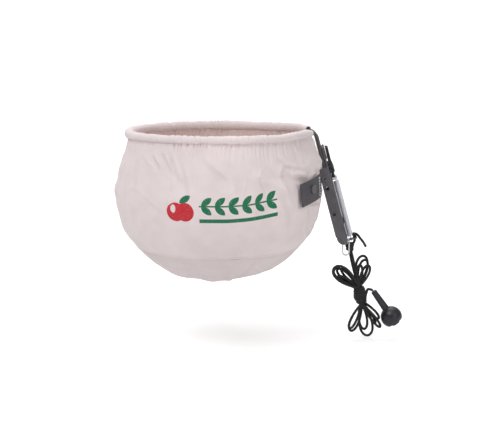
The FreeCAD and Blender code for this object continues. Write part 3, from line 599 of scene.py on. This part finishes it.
def gathers(azimuth):
    """Puckers where the cloth is gathered on the hoop: narrow folds of uneven width."""
    phase = azimuth * 58 + 6.0 * wave(azimuth * 6, 1) + 1.6 * wave(azimuth * 21, 2)
    strength = 0.7 + 0.75 * wave(azimuth * 5, 3)
    return (np.abs(np.sin(phase)) ** 0.7 - 0.6) * np.clip(strength, 0.1, 1.5)


SOFT_FOLDS = [
    # one end and the other: azimuth in degrees, drop in mm; then width and height in mm
    (-116, 12, -108, 44, 3.0, 1.5), (-122, 12, -113, 36, 2.5, 1.3), (-108, 20, -101, 62, 3.5, 1.3),
    (-130, 14, -121, 30, 3.0, 1.3), (-97, 14, -78, 46, 4.5, 1.7), (-88, 42, -66, 76, 6.0, 1.2),
    (-70, 34, -44, 62, 5.0, 1.9), (-60, 48, -48, 96, 7.0, 2.2), (-44, 36, -30, 42, 3.5, 1.9),
    (-66, 66, -44, 104, 7.0, 1.7), (-140, 20, -136, 60, 5.0, 1.3), (-158, 18, -164, 70, 6.0, 1.6),
    (-126, 72, -138, 112, 7.0, 1.5), (-104, 84, -92, 122, 6.0, 1.4), (-186, 14, -180, 60, 5.0, 1.5),
    (-52, 16, -40, 34, 3.0, 1.3), (-36, 10, -31, 34, 2.6, 1.2), (-84, 92, -70, 124, 6.0, 1.2),
    (-205, 20, -215, 70, 6.0, 1.6), (-232, 14, -226, 50, 5.0, 1.4), (-250, 30, -262, 90, 7.0, 1.8),
    (-280, 14, -276, 48, 5.0, 1.4), (-300, 30, -312, 80, 6.0, 1.8), (-330, 26, -322, 60, 5.0, 1.6),
    (-200, 56, -160, 60, 5.0, 1.1),
]
FOLD_STRENGTH = 1.65


def soft_folds(azimuth, drop):
    """Long soft folds pulled across the cloth, each with a hollow beside its ridge."""
    total = np.zeros(np.broadcast(azimuth, drop).shape)
    around = azimuth * U_RADIUS
    for a0, d0, a1, d1, width, height in SOFT_FOLDS:
        start = np.array([math.radians(a0) * U_RADIUS, d0 * MM])
        run = np.array([math.radians(a1) * U_RADIUS, d1 * MM]) - start
        length = np.linalg.norm(run)
        along = ((around - start[0]) * run[0] + (drop - start[1]) * run[1]) / length
        across = ((drop - start[1]) * run[0] - (around - start[0]) * run[1]) / length
        ends = np.clip(1 - (2 * along / length - 1) ** 2, 0, None)
        side = across / (width * MM)
        total += height * MM * ends * (np.exp(-side**2) - 0.6 * np.exp(-((side - 1.7) ** 2)))
    return total * FOLD_STRENGTH


# The opening beside the bracket: half its width at the hoop and lower down, the drop where it
# starts to round off, and the height of that rounding.
GAP_TOP_MM, GAP_FOOT_MM, GAP_STRAIGHT_MM, GAP_ROUND_MM = 23.0, 15.0, 34, 6


def gap_half_width(drops):
    """Half the width of the opening beside the bracket, by drop below the hoop."""
    mm = np.asarray(drops) / MM
    below = mm - GAP_STRAIGHT_MM
    straight = np.interp(mm, [0, GAP_STRAIGHT_MM], [GAP_TOP_MM, GAP_FOOT_MM])
    foot = GAP_FOOT_MM * np.sqrt(np.clip(1 - (below / GAP_ROUND_MM) ** 2, 0, 1))
    return np.where(below < 0, straight, np.where(below < GAP_ROUND_MM, foot, 0.0)) * MM


HEM_FOLLOW_MM = 30  # how far down the cloth still follows the hoop's flare


def hem_follow(azimuth, drop):
    """Shift that keeps the cloth's top under the hoop, which rises and flares at the bracket."""
    line = hoop_line(400)
    line_azimuth = azimuth_of(line)
    order = np.argsort(line_azimuth)
    wanted = [np.interp(azimuth, line_azimuth[order], line[order, i]) for i in range(3)]
    top_radius = side_radius([CLOTH_TOP])[0]
    plain = [BAG_AXIS.x + top_radius * np.cos(azimuth), top_radius * np.sin(azimuth), RIM_Z]
    share = np.clip(1 - (drop - 3 * MM) / (HEM_FOLLOW_MM * MM), 0, 1) ** 1.5
    return np.stack([wanted[i] - plain[i] for i in range(3)], axis=-1) * share[..., None]


GATHER_HEIGHT_MM, GATHER_LENGTH_MM = 2.1, 26  # puckers all round the hem
BRACKET_GATHER_HEIGHT_MM, BRACKET_GATHER_LENGTH_MM = 1.4, 46  # longer ones either side of the bracket
EDGE_LIFT_MM, EDGE_WIDTH_MM = 9.0, 34  # cloth drawn outward beside the opening
EDGE_LIFT_DROPS_MM, EDGE_LIFT_SHARES = [2, 8, 30, 36, 50], [0.0, 0.45, 1.0, 0.8, 0.0]
SIDE_SWELLS_MM = [(36, 1, 2.6), (14, 2, 0.9)]
SIDE_CREASES_MM = [(42, 4, 1.2), (24, 9, 0.6)]
CALM_BELOW_HOOP_MM, CALM_ABOVE_SEAM_MM = 30, 12  # where the swells fade towards the sewn edges


def side_points(azimuth, drop):
    """Points of the side panel's outer face: bellied, gathered at the top, folded and creased."""
    r = side_radius(drop)
    fade = np.clip(1 - (drop - HEM_DROP) / (GATHER_LENGTH_MM * MM), 0, 1) ** 1.4
    long_fade = np.clip(1 - (drop - HEM_DROP) / (BRACKET_GATHER_LENGTH_MM * MM), 0, 1) ** 1.2
    from_bracket = np.minimum(-azimuth, azimuth + 2 * math.pi)
    beside = np.exp(-(((from_bracket - 0.6) / 0.4) ** 2))
    slant = azimuth + drop * 1.2 * np.sin(azimuth * 3)
    height = fade * GATHER_HEIGHT_MM + beside * long_fade * BRACKET_GATHER_HEIGHT_MM
    r = r + gathers(slant) * height * MM + soft_folds(azimuth, drop)

    from_edge = from_bracket * r - gap_half_width(drop)
    lift = np.clip(1 - from_edge / (EDGE_WIDTH_MM * MM), 0, 1) ** 2
    r = r + lift * EDGE_LIFT_MM * MM * np.interp(drop / MM, EDGE_LIFT_DROPS_MM, EDGE_LIFT_SHARES)

    points = np.stack([BAG_AXIS.x + r * np.cos(azimuth), r * np.sin(azimuth), RIM_Z - drop], axis=-1)
    swell = unevenness(points, SIDE_SWELLS_MM, SIDE_CREASES_MM)
    swell *= np.clip(drop / (CALM_BELOW_HOOP_MM * MM), 0, 1)
    swell *= np.clip((SEAM_DROP - drop) / (CALM_ABOVE_SEAM_MM * MM), 0.1, 1)
    points[..., 0] += swell * np.cos(azimuth)
    points[..., 1] += swell * np.sin(azimuth)
    return pressed_by_tab(points, azimuth) + hem_follow(azimuth, drop)


def pressed_by_tab(points, azimuth):
    """Keep the cloth behind the leather tab that lies over it."""
    around = np.abs(azimuth - math.radians(TAB_MID_DEG)) * TAB_RADIUS_MM - TAB_LENGTH_MM / 2
    above = np.abs(points[..., 2] / MM - TAB_MID_Z_MM) - TAB_WIDTH_MM / 2 - TAB_MARGIN_MM
    beyond = np.maximum(np.maximum(around, above), 0)
    limit = (TAB_RADIUS_MM - TAB_GAP_MM + beyond * TAB_EASE) * MM
    away = points[..., :2] - np.array([BAG_AXIS.x, 0])
    size = np.linalg.norm(away, axis=-1)
    share = np.minimum(1, limit / size)
    pressed = points.copy()
    pressed[..., :2] = np.array([BAG_AXIS.x, 0]) + away * share[..., None]
    return pressed


CLOTH_THICKNESS = 0.7 * MM
BASE_THICKNESS = 0.8 * MM
SIDE_COLS, SIDE_HALF_ROWS = 1000, 80
FINE_ROWS_END, COARSE_ROWS_START = 45 * MM, 46 * MM  # rows are closer where the cloth is gathered


def side_cloth(material):
    """The bag's side panel, open beside the bracket, with the fruit print on its near side."""
    fine = np.linspace(CLOTH_TOP, FINE_ROWS_END, SIDE_HALF_ROWS)
    drops = np.concatenate([fine, np.linspace(COARSE_ROWS_START, SEAM_DROP, SIDE_HALF_ROWS)])
    edge = np.arcsin(np.clip(gap_half_width(drops) / side_radius(drops), 0, 1))[:, None]
    share = np.linspace(0, 1, SIDE_COLS)[None, :]
    azimuth = -edge - share * (2 * math.pi - 2 * edge)
    drop = np.broadcast_to(drops[:, None], azimuth.shape)
    part = grid(side_points(azimuth, drop), u=share[0] * 2 * math.pi * U_RADIUS, v=-drops)
    cloth = make("bag_side_cloth", material, part)
    modified(cloth, "WELD", merge_threshold=0.02 * MM)
    modified(cloth, "SOLIDIFY", thickness=CLOTH_THICKNESS, offset=-1)
    return bake_modifiers(cloth)


BASE_FLATNESS = 2.6  # power of the dish's curve: higher is flatter with a steeper edge
SEAM_RIDGE = 0.3 * MM  # the sewn edge stands out by this much
BASE_CREASE_DEG, BASE_CREASE_WIDTH, BASE_CREASE_HEIGHT = -62, 2.5 * MM, 1.6 * MM
BASE_SWELLS_MM = [(30, 6, 2.6), (12, 14, 0.8)]
BASE_CREASES_MM = [(30, 12, 1.1)]


def base_points(azimuth, share):
    """Points of the base panel, from the seam (share 0) to the middle (share 1)."""
    radius = SEAM_RADIUS * (1 - share**1.3 * 0.998)
    ridge = SEAM_RIDGE * np.exp(-((share / 0.02) ** 2))
    drop = SEAM_DROP + BASE_DEPTH * (1 - (radius / SEAM_RADIUS) ** BASE_FLATNESS)
    x = BAG_AXIS.x + (radius + ridge) * np.cos(azimuth)
    y = (radius + ridge) * np.sin(azimuth)
    points = np.stack([x, y, RIM_Z - drop + 0 * azimuth], axis=-1)
    fade = np.clip(share / 0.12, 0, 1) * np.clip(radius / (20 * MM), 0, 1)
    from_crease = (azimuth - math.radians(BASE_CREASE_DEG)) * radius
    crease = np.exp(-((from_crease / BASE_CREASE_WIDTH) ** 2)) * BASE_CREASE_HEIGHT
    points[..., 2] += (crease - unevenness(points, BASE_SWELLS_MM, BASE_CREASES_MM)) * fade
    return points


def base_cloth(material):
    """Dished round base panel, sewn in at the seam, with a crease across it."""
    share = np.linspace(0, 1, 70)[:, None]
    azimuth = -np.linspace(0, 2 * math.pi, 500, endpoint=False)[None, :]
    points = base_points(azimuth, share)
    flat = grid(points, closed=True)
    uvs = [tuple(flat[0][k][:2]) for face in flat[1] for k in face]
    cloth = make("bag_base_cloth", material, (flat[0], flat[1], uvs))
    modified(cloth, "SOLIDIFY", thickness=BASE_THICKNESS, offset=-1)
    return bake_modifiers(cloth)


HEM_SLACK, HEM_PROUD = 0.45 * MM, 0.7 * MM  # the roll inside the CAD tube, and its puckers' limit
HEM_THICKNESS = 0.9 * MM
LEFT_FULLNESS = 1.3 * MM  # the roll is fuller opposite the bracket
FAR_HEIGHTENING, FAR_RISE_MM, NEAR_SINK_MM = 0.3, 2.2, 0.3


def hem_roll(material):
    """The cloth tube round the hoop, puckered by the gathers, open at both ends."""
    line = hoop_line(1300)
    across, up = frames_along(line)
    angles = np.linspace(0, 2 * math.pi, 28, endpoint=False)
    azimuth = azimuth_of(line)
    lower = (1 - np.sin(angles + 0.3)) / 2
    pucker = gathers(azimuth)[:, None] * (0.45 + 0.75 * lower)[None, :] * MM
    slow = 0.55 * MM * wave(azimuth * 9, 8) + 0.35 * MM * wave(azimuth * 30, 9)
    radius = np.minimum(HEM_TUBE - HEM_SLACK + pucker + slow[:, None], HEM_TUBE + HEM_PROUD)
    ring = np.cos(angles)[None, :, None] * across[:, None] + np.sin(angles)[None, :, None] * up[:, None]
    far = np.clip(np.sin(azimuth), 0, 1)[:, None] ** 0.7
    left = np.exp(-(((azimuth + math.pi) / 0.5) ** 2))[:, None]
    offset = ring * (radius + LEFT_FULLNESS * left)[..., None]
    offset[..., 2] *= 1 + FAR_HEIGHTENING * far
    points = line[:, None] + offset
    points[..., 2] += (FAR_RISE_MM * far - NEAR_SINK_MM) * MM
    length = np.concatenate([[0], np.cumsum(np.linalg.norm(np.diff(line, axis=0), axis=1))])
    around = np.linspace(0, 2 * math.pi * HEM_TUBE, len(angles) + 1)
    roll = make("bag_hem_roll", material, grid(points, closed=True, u=around, v=length))
    modified(roll, "SOLIDIFY", thickness=HEM_THICKNESS, offset=-1)
    return bake_modifiers(roll)


def outward_from_axis(points):
    """Level unit vectors away from the bag's axis."""
    away = np.asarray(points) - np.array([BAG_AXIS.x, 0, 0])
    away[..., 2] = 0
    return away / np.linalg.norm(away, axis=-1)[..., None]


HEM_STITCH_DROP, HEM_STITCH_END = 6.6 * MM, 22.0 * MM  # under the roll; stops this far from the middle
SEAM_STITCH_RISE = 2.2 * MM
# length, gap and thread radius of each kind of stitch
HEM_STITCH = (2.6 * MM, 1.0 * MM, 0.24 * MM)
SEAM_STITCH = (2.4 * MM, 1.0 * MM, 0.22 * MM)
TAB_STITCH = (1.9 * MM, 1.3 * MM, 0.55 * MM)


def bag_threads(material):
    """The hem's line of stitches under the roll, and the base seam's above the seam."""
    edge = math.asin(HEM_STITCH_END / HOOP_RADIUS) + 0.02
    azimuth = np.linspace(-edge, -2 * math.pi + edge, 1200)
    hem = side_points(azimuth, np.full_like(azimuth, HEM_STITCH_DROP))
    azimuth = np.linspace(0, -2 * math.pi, 1200)
    seam = side_points(azimuth, np.full_like(azimuth, SEAM_DROP - SEAM_STITCH_RISE))
    parts = stitches(hem, outward_from_axis(hem), *HEM_STITCH)
    parts += stitches(seam, outward_from_axis(seam), *SEAM_STITCH)
    return make("bag_stitching", material, *parts)


# ---- Spring and cord ----

SPRING_X_MM = 12.1
SPRING_TOP_MM, SPRING_FOOT_MM = 4.2, -62.0
SPRING_WIRE_MM = 0.45  # radius of the wire
SPRING_MEAN_MM = 2.85  # radius of the coil's centre line
COIL_PITCH = 2.04  # in wire radii
EYE_DROP_MM = 0.25  # the top hook hangs this far below the pin's centre
FOOT_HOOK_RADIUS_MM, FOOT_HOOK_Z_MM = 2.4, -65.3


def return_spring(material):
    """Close-wound extension spring with an open hook on the guide pin and one in the pull tab."""
    pin_y = centre_of("guide_pin").y / MM
    length = SPRING_TOP_MM - SPRING_FOOT_MM - SPRING_WIRE_MM * 2
    turns = round(length / (COIL_PITCH * SPRING_WIRE_MM))
    angles = np.linspace(0, turns * 2 * math.pi, turns * 16 + 1)
    rise = np.linspace(SPRING_TOP_MM - SPRING_WIRE_MM, SPRING_FOOT_MM + SPRING_WIRE_MM, len(angles))
    coil = [
        pole_point(SPRING_X_MM + SPRING_MEAN_MM * math.sin(a), pin_y + SPRING_MEAN_MM * math.cos(a), z)
        for a, z in zip(angles, rise)
    ]
    eye = centre_of("guide_pin").dot(POLE_UP) / MM - EYE_DROP_MM
    top = [
        pole_point(SPRING_X_MM, pin_y + SPRING_MEAN_MM * math.cos(a), eye + SPRING_MEAN_MM * math.sin(a))
        for a in np.radians(np.arange(262, -1, -15))
    ]
    hook = FOOT_HOOK_RADIUS_MM
    foot = [
        pole_point(SPRING_X_MM, pin_y + hook + hook * math.cos(a), FOOT_HOOK_Z_MM + hook * math.sin(a))
        for a in np.radians(np.arange(75, 400, 15))
    ]
    wire = [*top, *coil, *foot]
    return make("return_spring_wire", material, tube(wire, SPRING_WIRE_MM * MM, 8))


CORD_MM = 1.45  # radius of the cord
KNOT_SPOT_MM = (8.5, 6.0, -72.8)
HANK_WAIST = Vector((37.0, 0.0, -114.0)) * MM  # top of the binding, where the upper loops meet
HANK_FOOT = Vector((41.0, 0.0, -132.5)) * MM  # bottom of the binding, where the lower loops meet
HANK_LAY_MM = [
    # which end, direction in degrees; then length, width and depth across the view
    (HANK_WAIST, 141, 36, 15.5, -2.8), (HANK_FOOT, -111, 34, 9.5, -1.2), (HANK_WAIST, 80, 36, 13.0, 1.6),
    (HANK_FOOT, -79, 38, 14.5, 2.4), (HANK_WAIST, 144, 33, 11.0, -0.6), (HANK_FOOT, -82, 32, 9.0, 0.4),
    (HANK_WAIST, 76, 31, 9.5, 3.2), (HANK_FOOT, -114, 31, 6.5, -3.0), (HANK_WAIST, 138, 31, 8.0, 1.6),
    (HANK_FOOT, -52, 34, 5.0, -2.2), (HANK_WAIST, 66, 27, 8.0, -1.4), (HANK_WAIST, 134, 28, 5.5, 2.8),
    (HANK_FOOT, -47, 27, 5.5, 1.2), (HANK_WAIST, 88, 26, 6.0, 0.2), (HANK_WAIST, 148, 27, 5.0, -1.8),
    (HANK_FOOT, -57, 30, 3.6, 2.6),
]
BINDING_TURNS = 7.4
BINDING_RADIUS_MM, BINDING_SWELL_MM = 4.4, 1.9


def trefoil(centre, size, depth, turn):
    """Points of a simple overhand knot, open at its two ends, facing the near side."""
    points = []
    for t in np.linspace(0.35, 2 * math.pi - 0.35, 40) + turn:
        x = math.sin(t) + 2 * math.sin(2 * t)
        z = math.cos(t) - 2 * math.cos(2 * t)
        points.append(centre + Vector((x * size * MM / 3, math.sin(3 * t) * depth * MM, z * size * MM / 3)))
    return points


def cord_at_tab(material):
    """The cord's free end over the tab, its turn down through the tab, and the big knot below."""
    knot = pole_point(*KNOT_SPOT_MM)
    free = [(26.2, 9.0, -78.6), (24.6, 8.5, -72.6), (22.2, 8.0, -67.0), (20.4, 8.0, -62.6)]
    down = [(16.5, 8.0, -63.0), (16.2, 8.0, -66.5), (13.6, 7.3, -70.3)]
    small = trefoil(pole_point(17.2, 7.6, -61.6), 2.0, 1.0, 0.6)
    big = trefoil(knot, 4.2, 1.9, 2.2)
    run = [pole_point(*p) for p in free] + small + [pole_point(*p) for p in down] + big
    radius = [CORD_MM * MM] * 700
    radius[0] = radius[-1] = 0.7 * MM
    wrap = [
        knot + Vector((math.cos(a) * 3.1, math.sin(a) * 2.9, 3.6 - 0.95 * a / math.pi)) * MM
        for a in np.linspace(0, 8.4 * math.pi, 90)
    ]
    parts = [tube(through(run, 700), radius), tube(through(wrap, 400), CORD_MM * MM)]
    return make("cord_knot_strands", material, *parts)


def lobe(root, angle_deg, length_mm, width_mm, depth_mm, drift):
    """One drop-shaped loop of cord that leaves a point, swells and comes back to it."""
    along = Vector((math.cos(math.radians(angle_deg)), 0, math.sin(math.radians(angle_deg))))
    across = Vector((-along.z, 0, along.x))
    points = []
    for t in np.linspace(0.06, 0.94, 15):
        out = length_mm * math.sin(math.pi * t) ** 2
        side = width_mm * 0.65 * math.sin(2 * math.pi * t) * math.sin(math.pi * t)
        deep = depth_mm + drift * (t - 0.5)
        points.append(root + (along * out + across * side + Vector((0, deep, 0))) * MM)
    return points


def hank_loops(knot):
    """The spare cord laid in loops above and below the binding."""
    run = [knot + Vector((1.2, -1.0, -3.4)) * MM, knot.lerp(HANK_WAIST, 0.45) + Vector((0.6, -1.5, 0)) * MM]
    for root, angle, length, width, depth in HANK_LAY_MM:
        shift = Vector((draw.uniform(-1.2, 1.2), depth * 0.5, draw.uniform(-1.5, 1.5))) * MM
        run += lobe(root + shift, angle, length, width, depth, draw.uniform(-2.0, 2.0))
    run.append(HANK_WAIST + Vector((1.0, 0, -2.0)) * MM)
    return tube(through(run, 3600), CORD_MM * MM)


def hank_binding():
    """The turns of cord that hold the loops together, fullest in the middle."""
    axis = HANK_FOOT - HANK_WAIST
    level = Vector((axis.z, 0, -axis.x)).normalized()
    wraps = []
    for a in np.linspace(0, BINDING_TURNS * 2 * math.pi, 150):
        share = a / (BINDING_TURNS * 2 * math.pi)
        swell = BINDING_SWELL_MM * math.sin(math.pi * min(1, share * 1.05))
        size = BINDING_RADIUS_MM + swell + 0.25 * math.sin(a * 2.3)
        tilt = 1.1 * math.sin(a + 0.8 + share * 3)
        spot = HANK_WAIST.lerp(HANK_FOOT, share * 0.94 + 0.03)
        turn = level * math.cos(a) * size + Vector((0, math.sin(a) * size, 0))
        wraps.append(spot + turn * MM + axis.normalized() * tilt * MM)
    return tube(through(wraps, 1100), CORD_MM * MM)


def hank_leads(knot):
    """The cord on to the knob, and a second strand down from the knot."""
    knob_top = Vector(joints["knob_swing"]["pos_m"])
    to_knob = [
        HANK_FOOT.lerp(HANK_WAIST, 0.3) + Vector((3.5, -2.5, 0)) * MM,
        HANK_FOOT.lerp(HANK_WAIST, 0.62) + Vector((7.5, -2.0, 1)) * MM,
        HANK_WAIST.lerp(knob_top, 0.62) + Vector((0, -0.6, 0.4)) * MM,
        knob_top + Vector((-0.8, 0, 1.1)) * MM,
    ]
    from_knot = [
        knot + Vector((-0.6, 1.2, -3.2)) * MM,
        knot.lerp(HANK_WAIST, 0.5) + Vector((-1.4, 1.2, 0)) * MM,
        HANK_WAIST,
    ]
    return [tube(through(lead, 60), CORD_MM * MM) for lead in (to_knob, from_knot)]


def hank_strands(material):
    """The spare pull cord: one cord laid in loops above and below, bound round its middle."""
    knot = pole_point(*KNOT_SPOT_MM)
    return make("cord_hank_strands", material, hank_loops(knot), hank_binding(), *hank_leads(knot))


# ---- Strap ----

def tab_points(s, t, radius_mm):
    """Points of the tab from millimetres along it and up it, on a cylinder round the bag."""
    droop = math.radians(TAB_DROOP_DEG)
    around = s * math.cos(droop) - t * math.sin(droop)
    up = s * math.sin(droop) + t * math.cos(droop)
    azimuth = math.radians(TAB_MID_DEG) + np.arcsin(around / TAB_RADIUS_MM)
    x = BAG_AXIS.x / MM + radius_mm * np.cos(azimuth)
    return np.stack([x, radius_mm * np.sin(azimuth), TAB_MID_Z_MM + up], axis=-1) * MM


def rounded_corners(s, t, corner):
    """Pull a rectangle's grid in, so that its corners are round."""
    half_s, half_t = s.max() - corner, t.max() - corner
    over_s, over_t = np.abs(s) - half_s, np.abs(t) - half_t
    outside = (over_s > 0) & (over_t > 0)
    reach = np.where(outside, np.hypot(over_s, over_t), 1)
    square = np.where(outside, np.maximum(over_s, over_t) / reach, 1)
    round_s = np.sign(s) * (half_s + over_s * square)
    round_t = np.sign(t) * (half_t + over_t * square)
    return np.where(outside, round_s, s), np.where(outside, round_t, t)


LEATHER_MM = 1.6  # its thickness
TAB_CORNER_MM = 1.8
TAB_CURL_MM, TAB_CURL_LENGTH_MM = 1.1, 9  # the free end lifts by this, over this length
TAB_WAVINESS_MM = 0.25
TAB_SEAM_INSET_MM, TAB_SEAM_MARGIN_MM = 8.5, 1.6


def leather_tab(material, thread):
    """Leather tab that follows the bag's side and droops, with a row of stitches at its root."""
    flat_s, flat_t = np.meshgrid(
        np.linspace(-TAB_LENGTH_MM / 2, TAB_LENGTH_MM / 2, 60),
        np.linspace(-TAB_WIDTH_MM / 2, TAB_WIDTH_MM / 2, 44))
    s, t = rounded_corners(flat_s, flat_t, TAB_CORNER_MM)
    from_free_end = s + TAB_LENGTH_MM / 2
    ripple = np.sin(from_free_end / TAB_LENGTH_MM * 5) * np.sin(t / TAB_WIDTH_MM * 4)
    radius = TAB_RADIUS_MM + TAB_CURL_MM * np.clip(1 - from_free_end / TAB_CURL_LENGTH_MM, 0, 1) ** 2
    radius += TAB_WAVINESS_MM * (1 + ripple)
    tab = make("strap_leather", material,
               grid(tab_points(s, t, radius), u=flat_s[0] * MM, v=flat_t[:, 0] * MM))
    modified(tab, "SOLIDIFY", thickness=LEATHER_MM * MM, offset=1)
    modified(tab, "BEVEL", width=0.35 * MM, segments=2, limit_method="ANGLE")
    bake_modifiers(tab)

    seam_end = TAB_WIDTH_MM / 2 - TAB_SEAM_MARGIN_MM
    up = np.linspace(-seam_end, seam_end, 40)
    seam_s = np.full_like(up, TAB_LENGTH_MM / 2 - TAB_SEAM_INSET_MM)
    line = tab_points(seam_s, up, TAB_RADIUS_MM + LEATHER_MM + 0.5)
    sewn = stitches(line, outward_from_axis(line), *TAB_STITCH)
    return tab, make("strap_stitching", thread, *sewn)


# ---- Build ----

cloth_plain = canvas_material("canvas_plain")
# The base panel's canvas is the same cloth darkened to 0.9: painted shade, because it faces down.
cloth_base_shaded = canvas_material("canvas_base_shaded", 0.9)
cloth_printed = canvas_material("canvas_printed", printed=True)
grey_paint = paint_material()
zinc = steel_material("zinc_steel", (0.62, 0.62, 0.63), 0.32)
drawn = steel_material("spring_steel", (0.84, 0.84, 0.9), 0.45, 0.05, 0.45)
rod_steel = steel_material("rod_steel", (0.13, 0.13, 0.135), 0.3)
blade_steel = blade_material()
cord = cord_material()
plastic = plastic_material()
leather = leather_material()
pale_thread = thread_material("pale_thread", (0.78, 0.69, 0.68))
white_thread = thread_material("white_thread", (0.85, 0.84, 0.84))


def add(piece, body, slot, *nodes):
    """Put a piece on its body, hiding the CAD nodes that it stands for; its slot is not used."""
    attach(piece, body)
    if nodes:
        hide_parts(*nodes)


add(side_cloth(cloth_printed), "head", "canvas", "bag_side")
add(base_cloth(cloth_base_shaded), "head", "canvas", "bag_base")
add(hem_roll(cloth_plain), "head", "canvas", "bag_hem")
add(bag_threads(pale_thread), "head", "canvas")
add(cord_at_tab(cord), "pull", "cord", "cord_knot")
add(hank_strands(cord), "hank", "cord", "cord_hank")
tab_piece, tab_seam = leather_tab(leather, white_thread)
add(tab_piece, "strap", "leather", "strap_tab")
add(tab_seam, "strap", "leather")

spring = return_spring(drawn)
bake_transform(spring)
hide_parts("return_spring")

CAD_FINISH = [
    (grey_paint, "head_bracket", "pole_stop_pin", "hoop_saddle", "pull_bar", "stud_cap"),
    (blade_steel, "fixed_blade", "fixed_blade_rivets", "moving_blade", "pivot_bolt", "pivot_spacer"),
    (blade_steel, "drive_pin"),
    (zinc, "saddle_rivets", "pivot_washer", "pivot_nut", "guide_pin", "stud_socket", "cord_guide_ring"),
    (rod_steel, "hoop"), (plastic, "pull_knob", "knob_cap"), (cord, "cord_end_knot"),
]
for finish, *nodes in CAD_FINISH:
    for node in nodes:
        mesh = frame["nodes"][node].data
        mesh.materials.clear()
        mesh.materials.append(finish)


# ---- Stage ----

FLOOR_GAP = 1.5 * MM  # below the object's lowest point
FLOOR_FRONT, FLOOR_BEND, FLOOR_HALF_WIDTH = -2.5, 1.0, 4
SWEEP_RADIUS, BACKDROP_TOP = 0.8, 3.0
CAMERA_FROM_HOOP = Vector((0.034, -1.3, 0.098))
CAMERA_DOWN_DEG, CAMERA_LENS_MM = 8.7, 84.2
LAMPS = [
    # name, place, size, power, aim
    ("key", (-0.75, -0.95, 1.3), 0.8, 13.5, (-0.1, 0, 0)),
    ("fill", (0.9, -1.0, 0.6), 1.0, 4, (-0.1, 0, 0)),
    ("top", (-0.1, 0.3, 1.4), 1.2, 5, (-0.1, 0, 0)),
    ("sweep", (0.0, 1.0, 1.8), 2.0, 14, (0.0, 1.6, 0.2)),
]


def floor_material():
    """Near-white, and brighter to the camera than as a light on the object."""
    s = Shader("floor_white", (0.94, 0.94, 0.94), 0.9)
    s.set("Emission Color", (1, 1, 1, 1))
    seen = s.node("ShaderNodeLightPath").outputs["Is Camera Ray"]
    s.set("Emission Strength", s.math("MULTIPLY", seen, 0.3))
    s.set("Base Color", s.mix(s.ramp(s.noise(3.0), 0.3, 0.7), (0.93, 0.93, 0.93), (0.95, 0.95, 0.95)))
    return s.material


def pale_floor():
    """Floor that sweeps up into a backdrop behind the object."""
    floor_z = cad_low.z - FLOOR_GAP
    turn = np.linspace(0.1, math.pi / 2, 16)
    wall_y, wall_foot_z = FLOOR_BEND + SWEEP_RADIUS, 2 * SWEEP_RADIUS
    ys = np.concatenate([np.linspace(FLOOR_FRONT, FLOOR_BEND, 8), FLOOR_BEND + np.sin(turn) * SWEEP_RADIUS,
                         [wall_y, wall_y]])
    zs = np.concatenate([np.zeros(8), SWEEP_RADIUS - np.cos(turn) * SWEEP_RADIUS,
                         [wall_foot_z, BACKDROP_TOP]])
    xs = np.linspace(-FLOOR_HALF_WIDTH, FLOOR_HALF_WIDTH, 9)
    points = np.array([[[x, y, floor_z + z] for x in xs] for y, z in zip(ys, zs)])
    make("floor", floor_material(), grid(points))


def studio_world():
    """White surroundings, full to the camera and dimmer as a light on the object."""
    world = bpy.data.worlds.new("studio")
    world.use_nodes = True
    background = world.node_tree.nodes["Background"]
    background.inputs[0].default_value = (1, 1, 1, 1)
    seen = world.node_tree.nodes.new("ShaderNodeLightPath")
    strength = world.node_tree.nodes.new("ShaderNodeMapRange")
    strength.inputs["To Min"].default_value = 0.34
    world.node_tree.links.new(seen.outputs["Is Camera Ray"], strength.inputs["Value"])
    world.node_tree.links.new(strength.outputs["Result"], background.inputs[1])
    bpy.context.scene.world = world


def soft_lamps():
    """Square soft lights, each turned to its aim."""
    for name, place, size, power, aim in LAMPS:
        lamp = bpy.data.lights.new(name, "AREA")
        lamp.size = size
        lamp.energy = power
        holder = bpy.data.objects.new(name, lamp)
        holder.location = place
        holder.rotation_mode = "QUATERNION"
        holder.rotation_quaternion = (Vector(aim) - Vector(place)).to_track_quat("-Z", "Y")
        bpy.context.scene.collection.objects.link(holder)


def viewpoint():
    """The camera, in front of the bag and looking a little down on it."""
    camera = bpy.data.cameras.new("camera")
    camera.sensor_width = 36
    camera.lens = CAMERA_LENS_MM
    holder = bpy.data.objects.new("camera", camera)
    holder.location = HOOP_CENTRE + CAMERA_FROM_HOOP
    holder.rotation_euler = (math.radians(90 - CAMERA_DOWN_DEG), 0, 0)
    bpy.context.scene.collection.objects.link(holder)
    bpy.context.scene.camera = holder
    bpy.context.scene.view_settings.view_transform = "Standard"


pale_floor()
studio_world()
soft_lamps()
viewpoint()
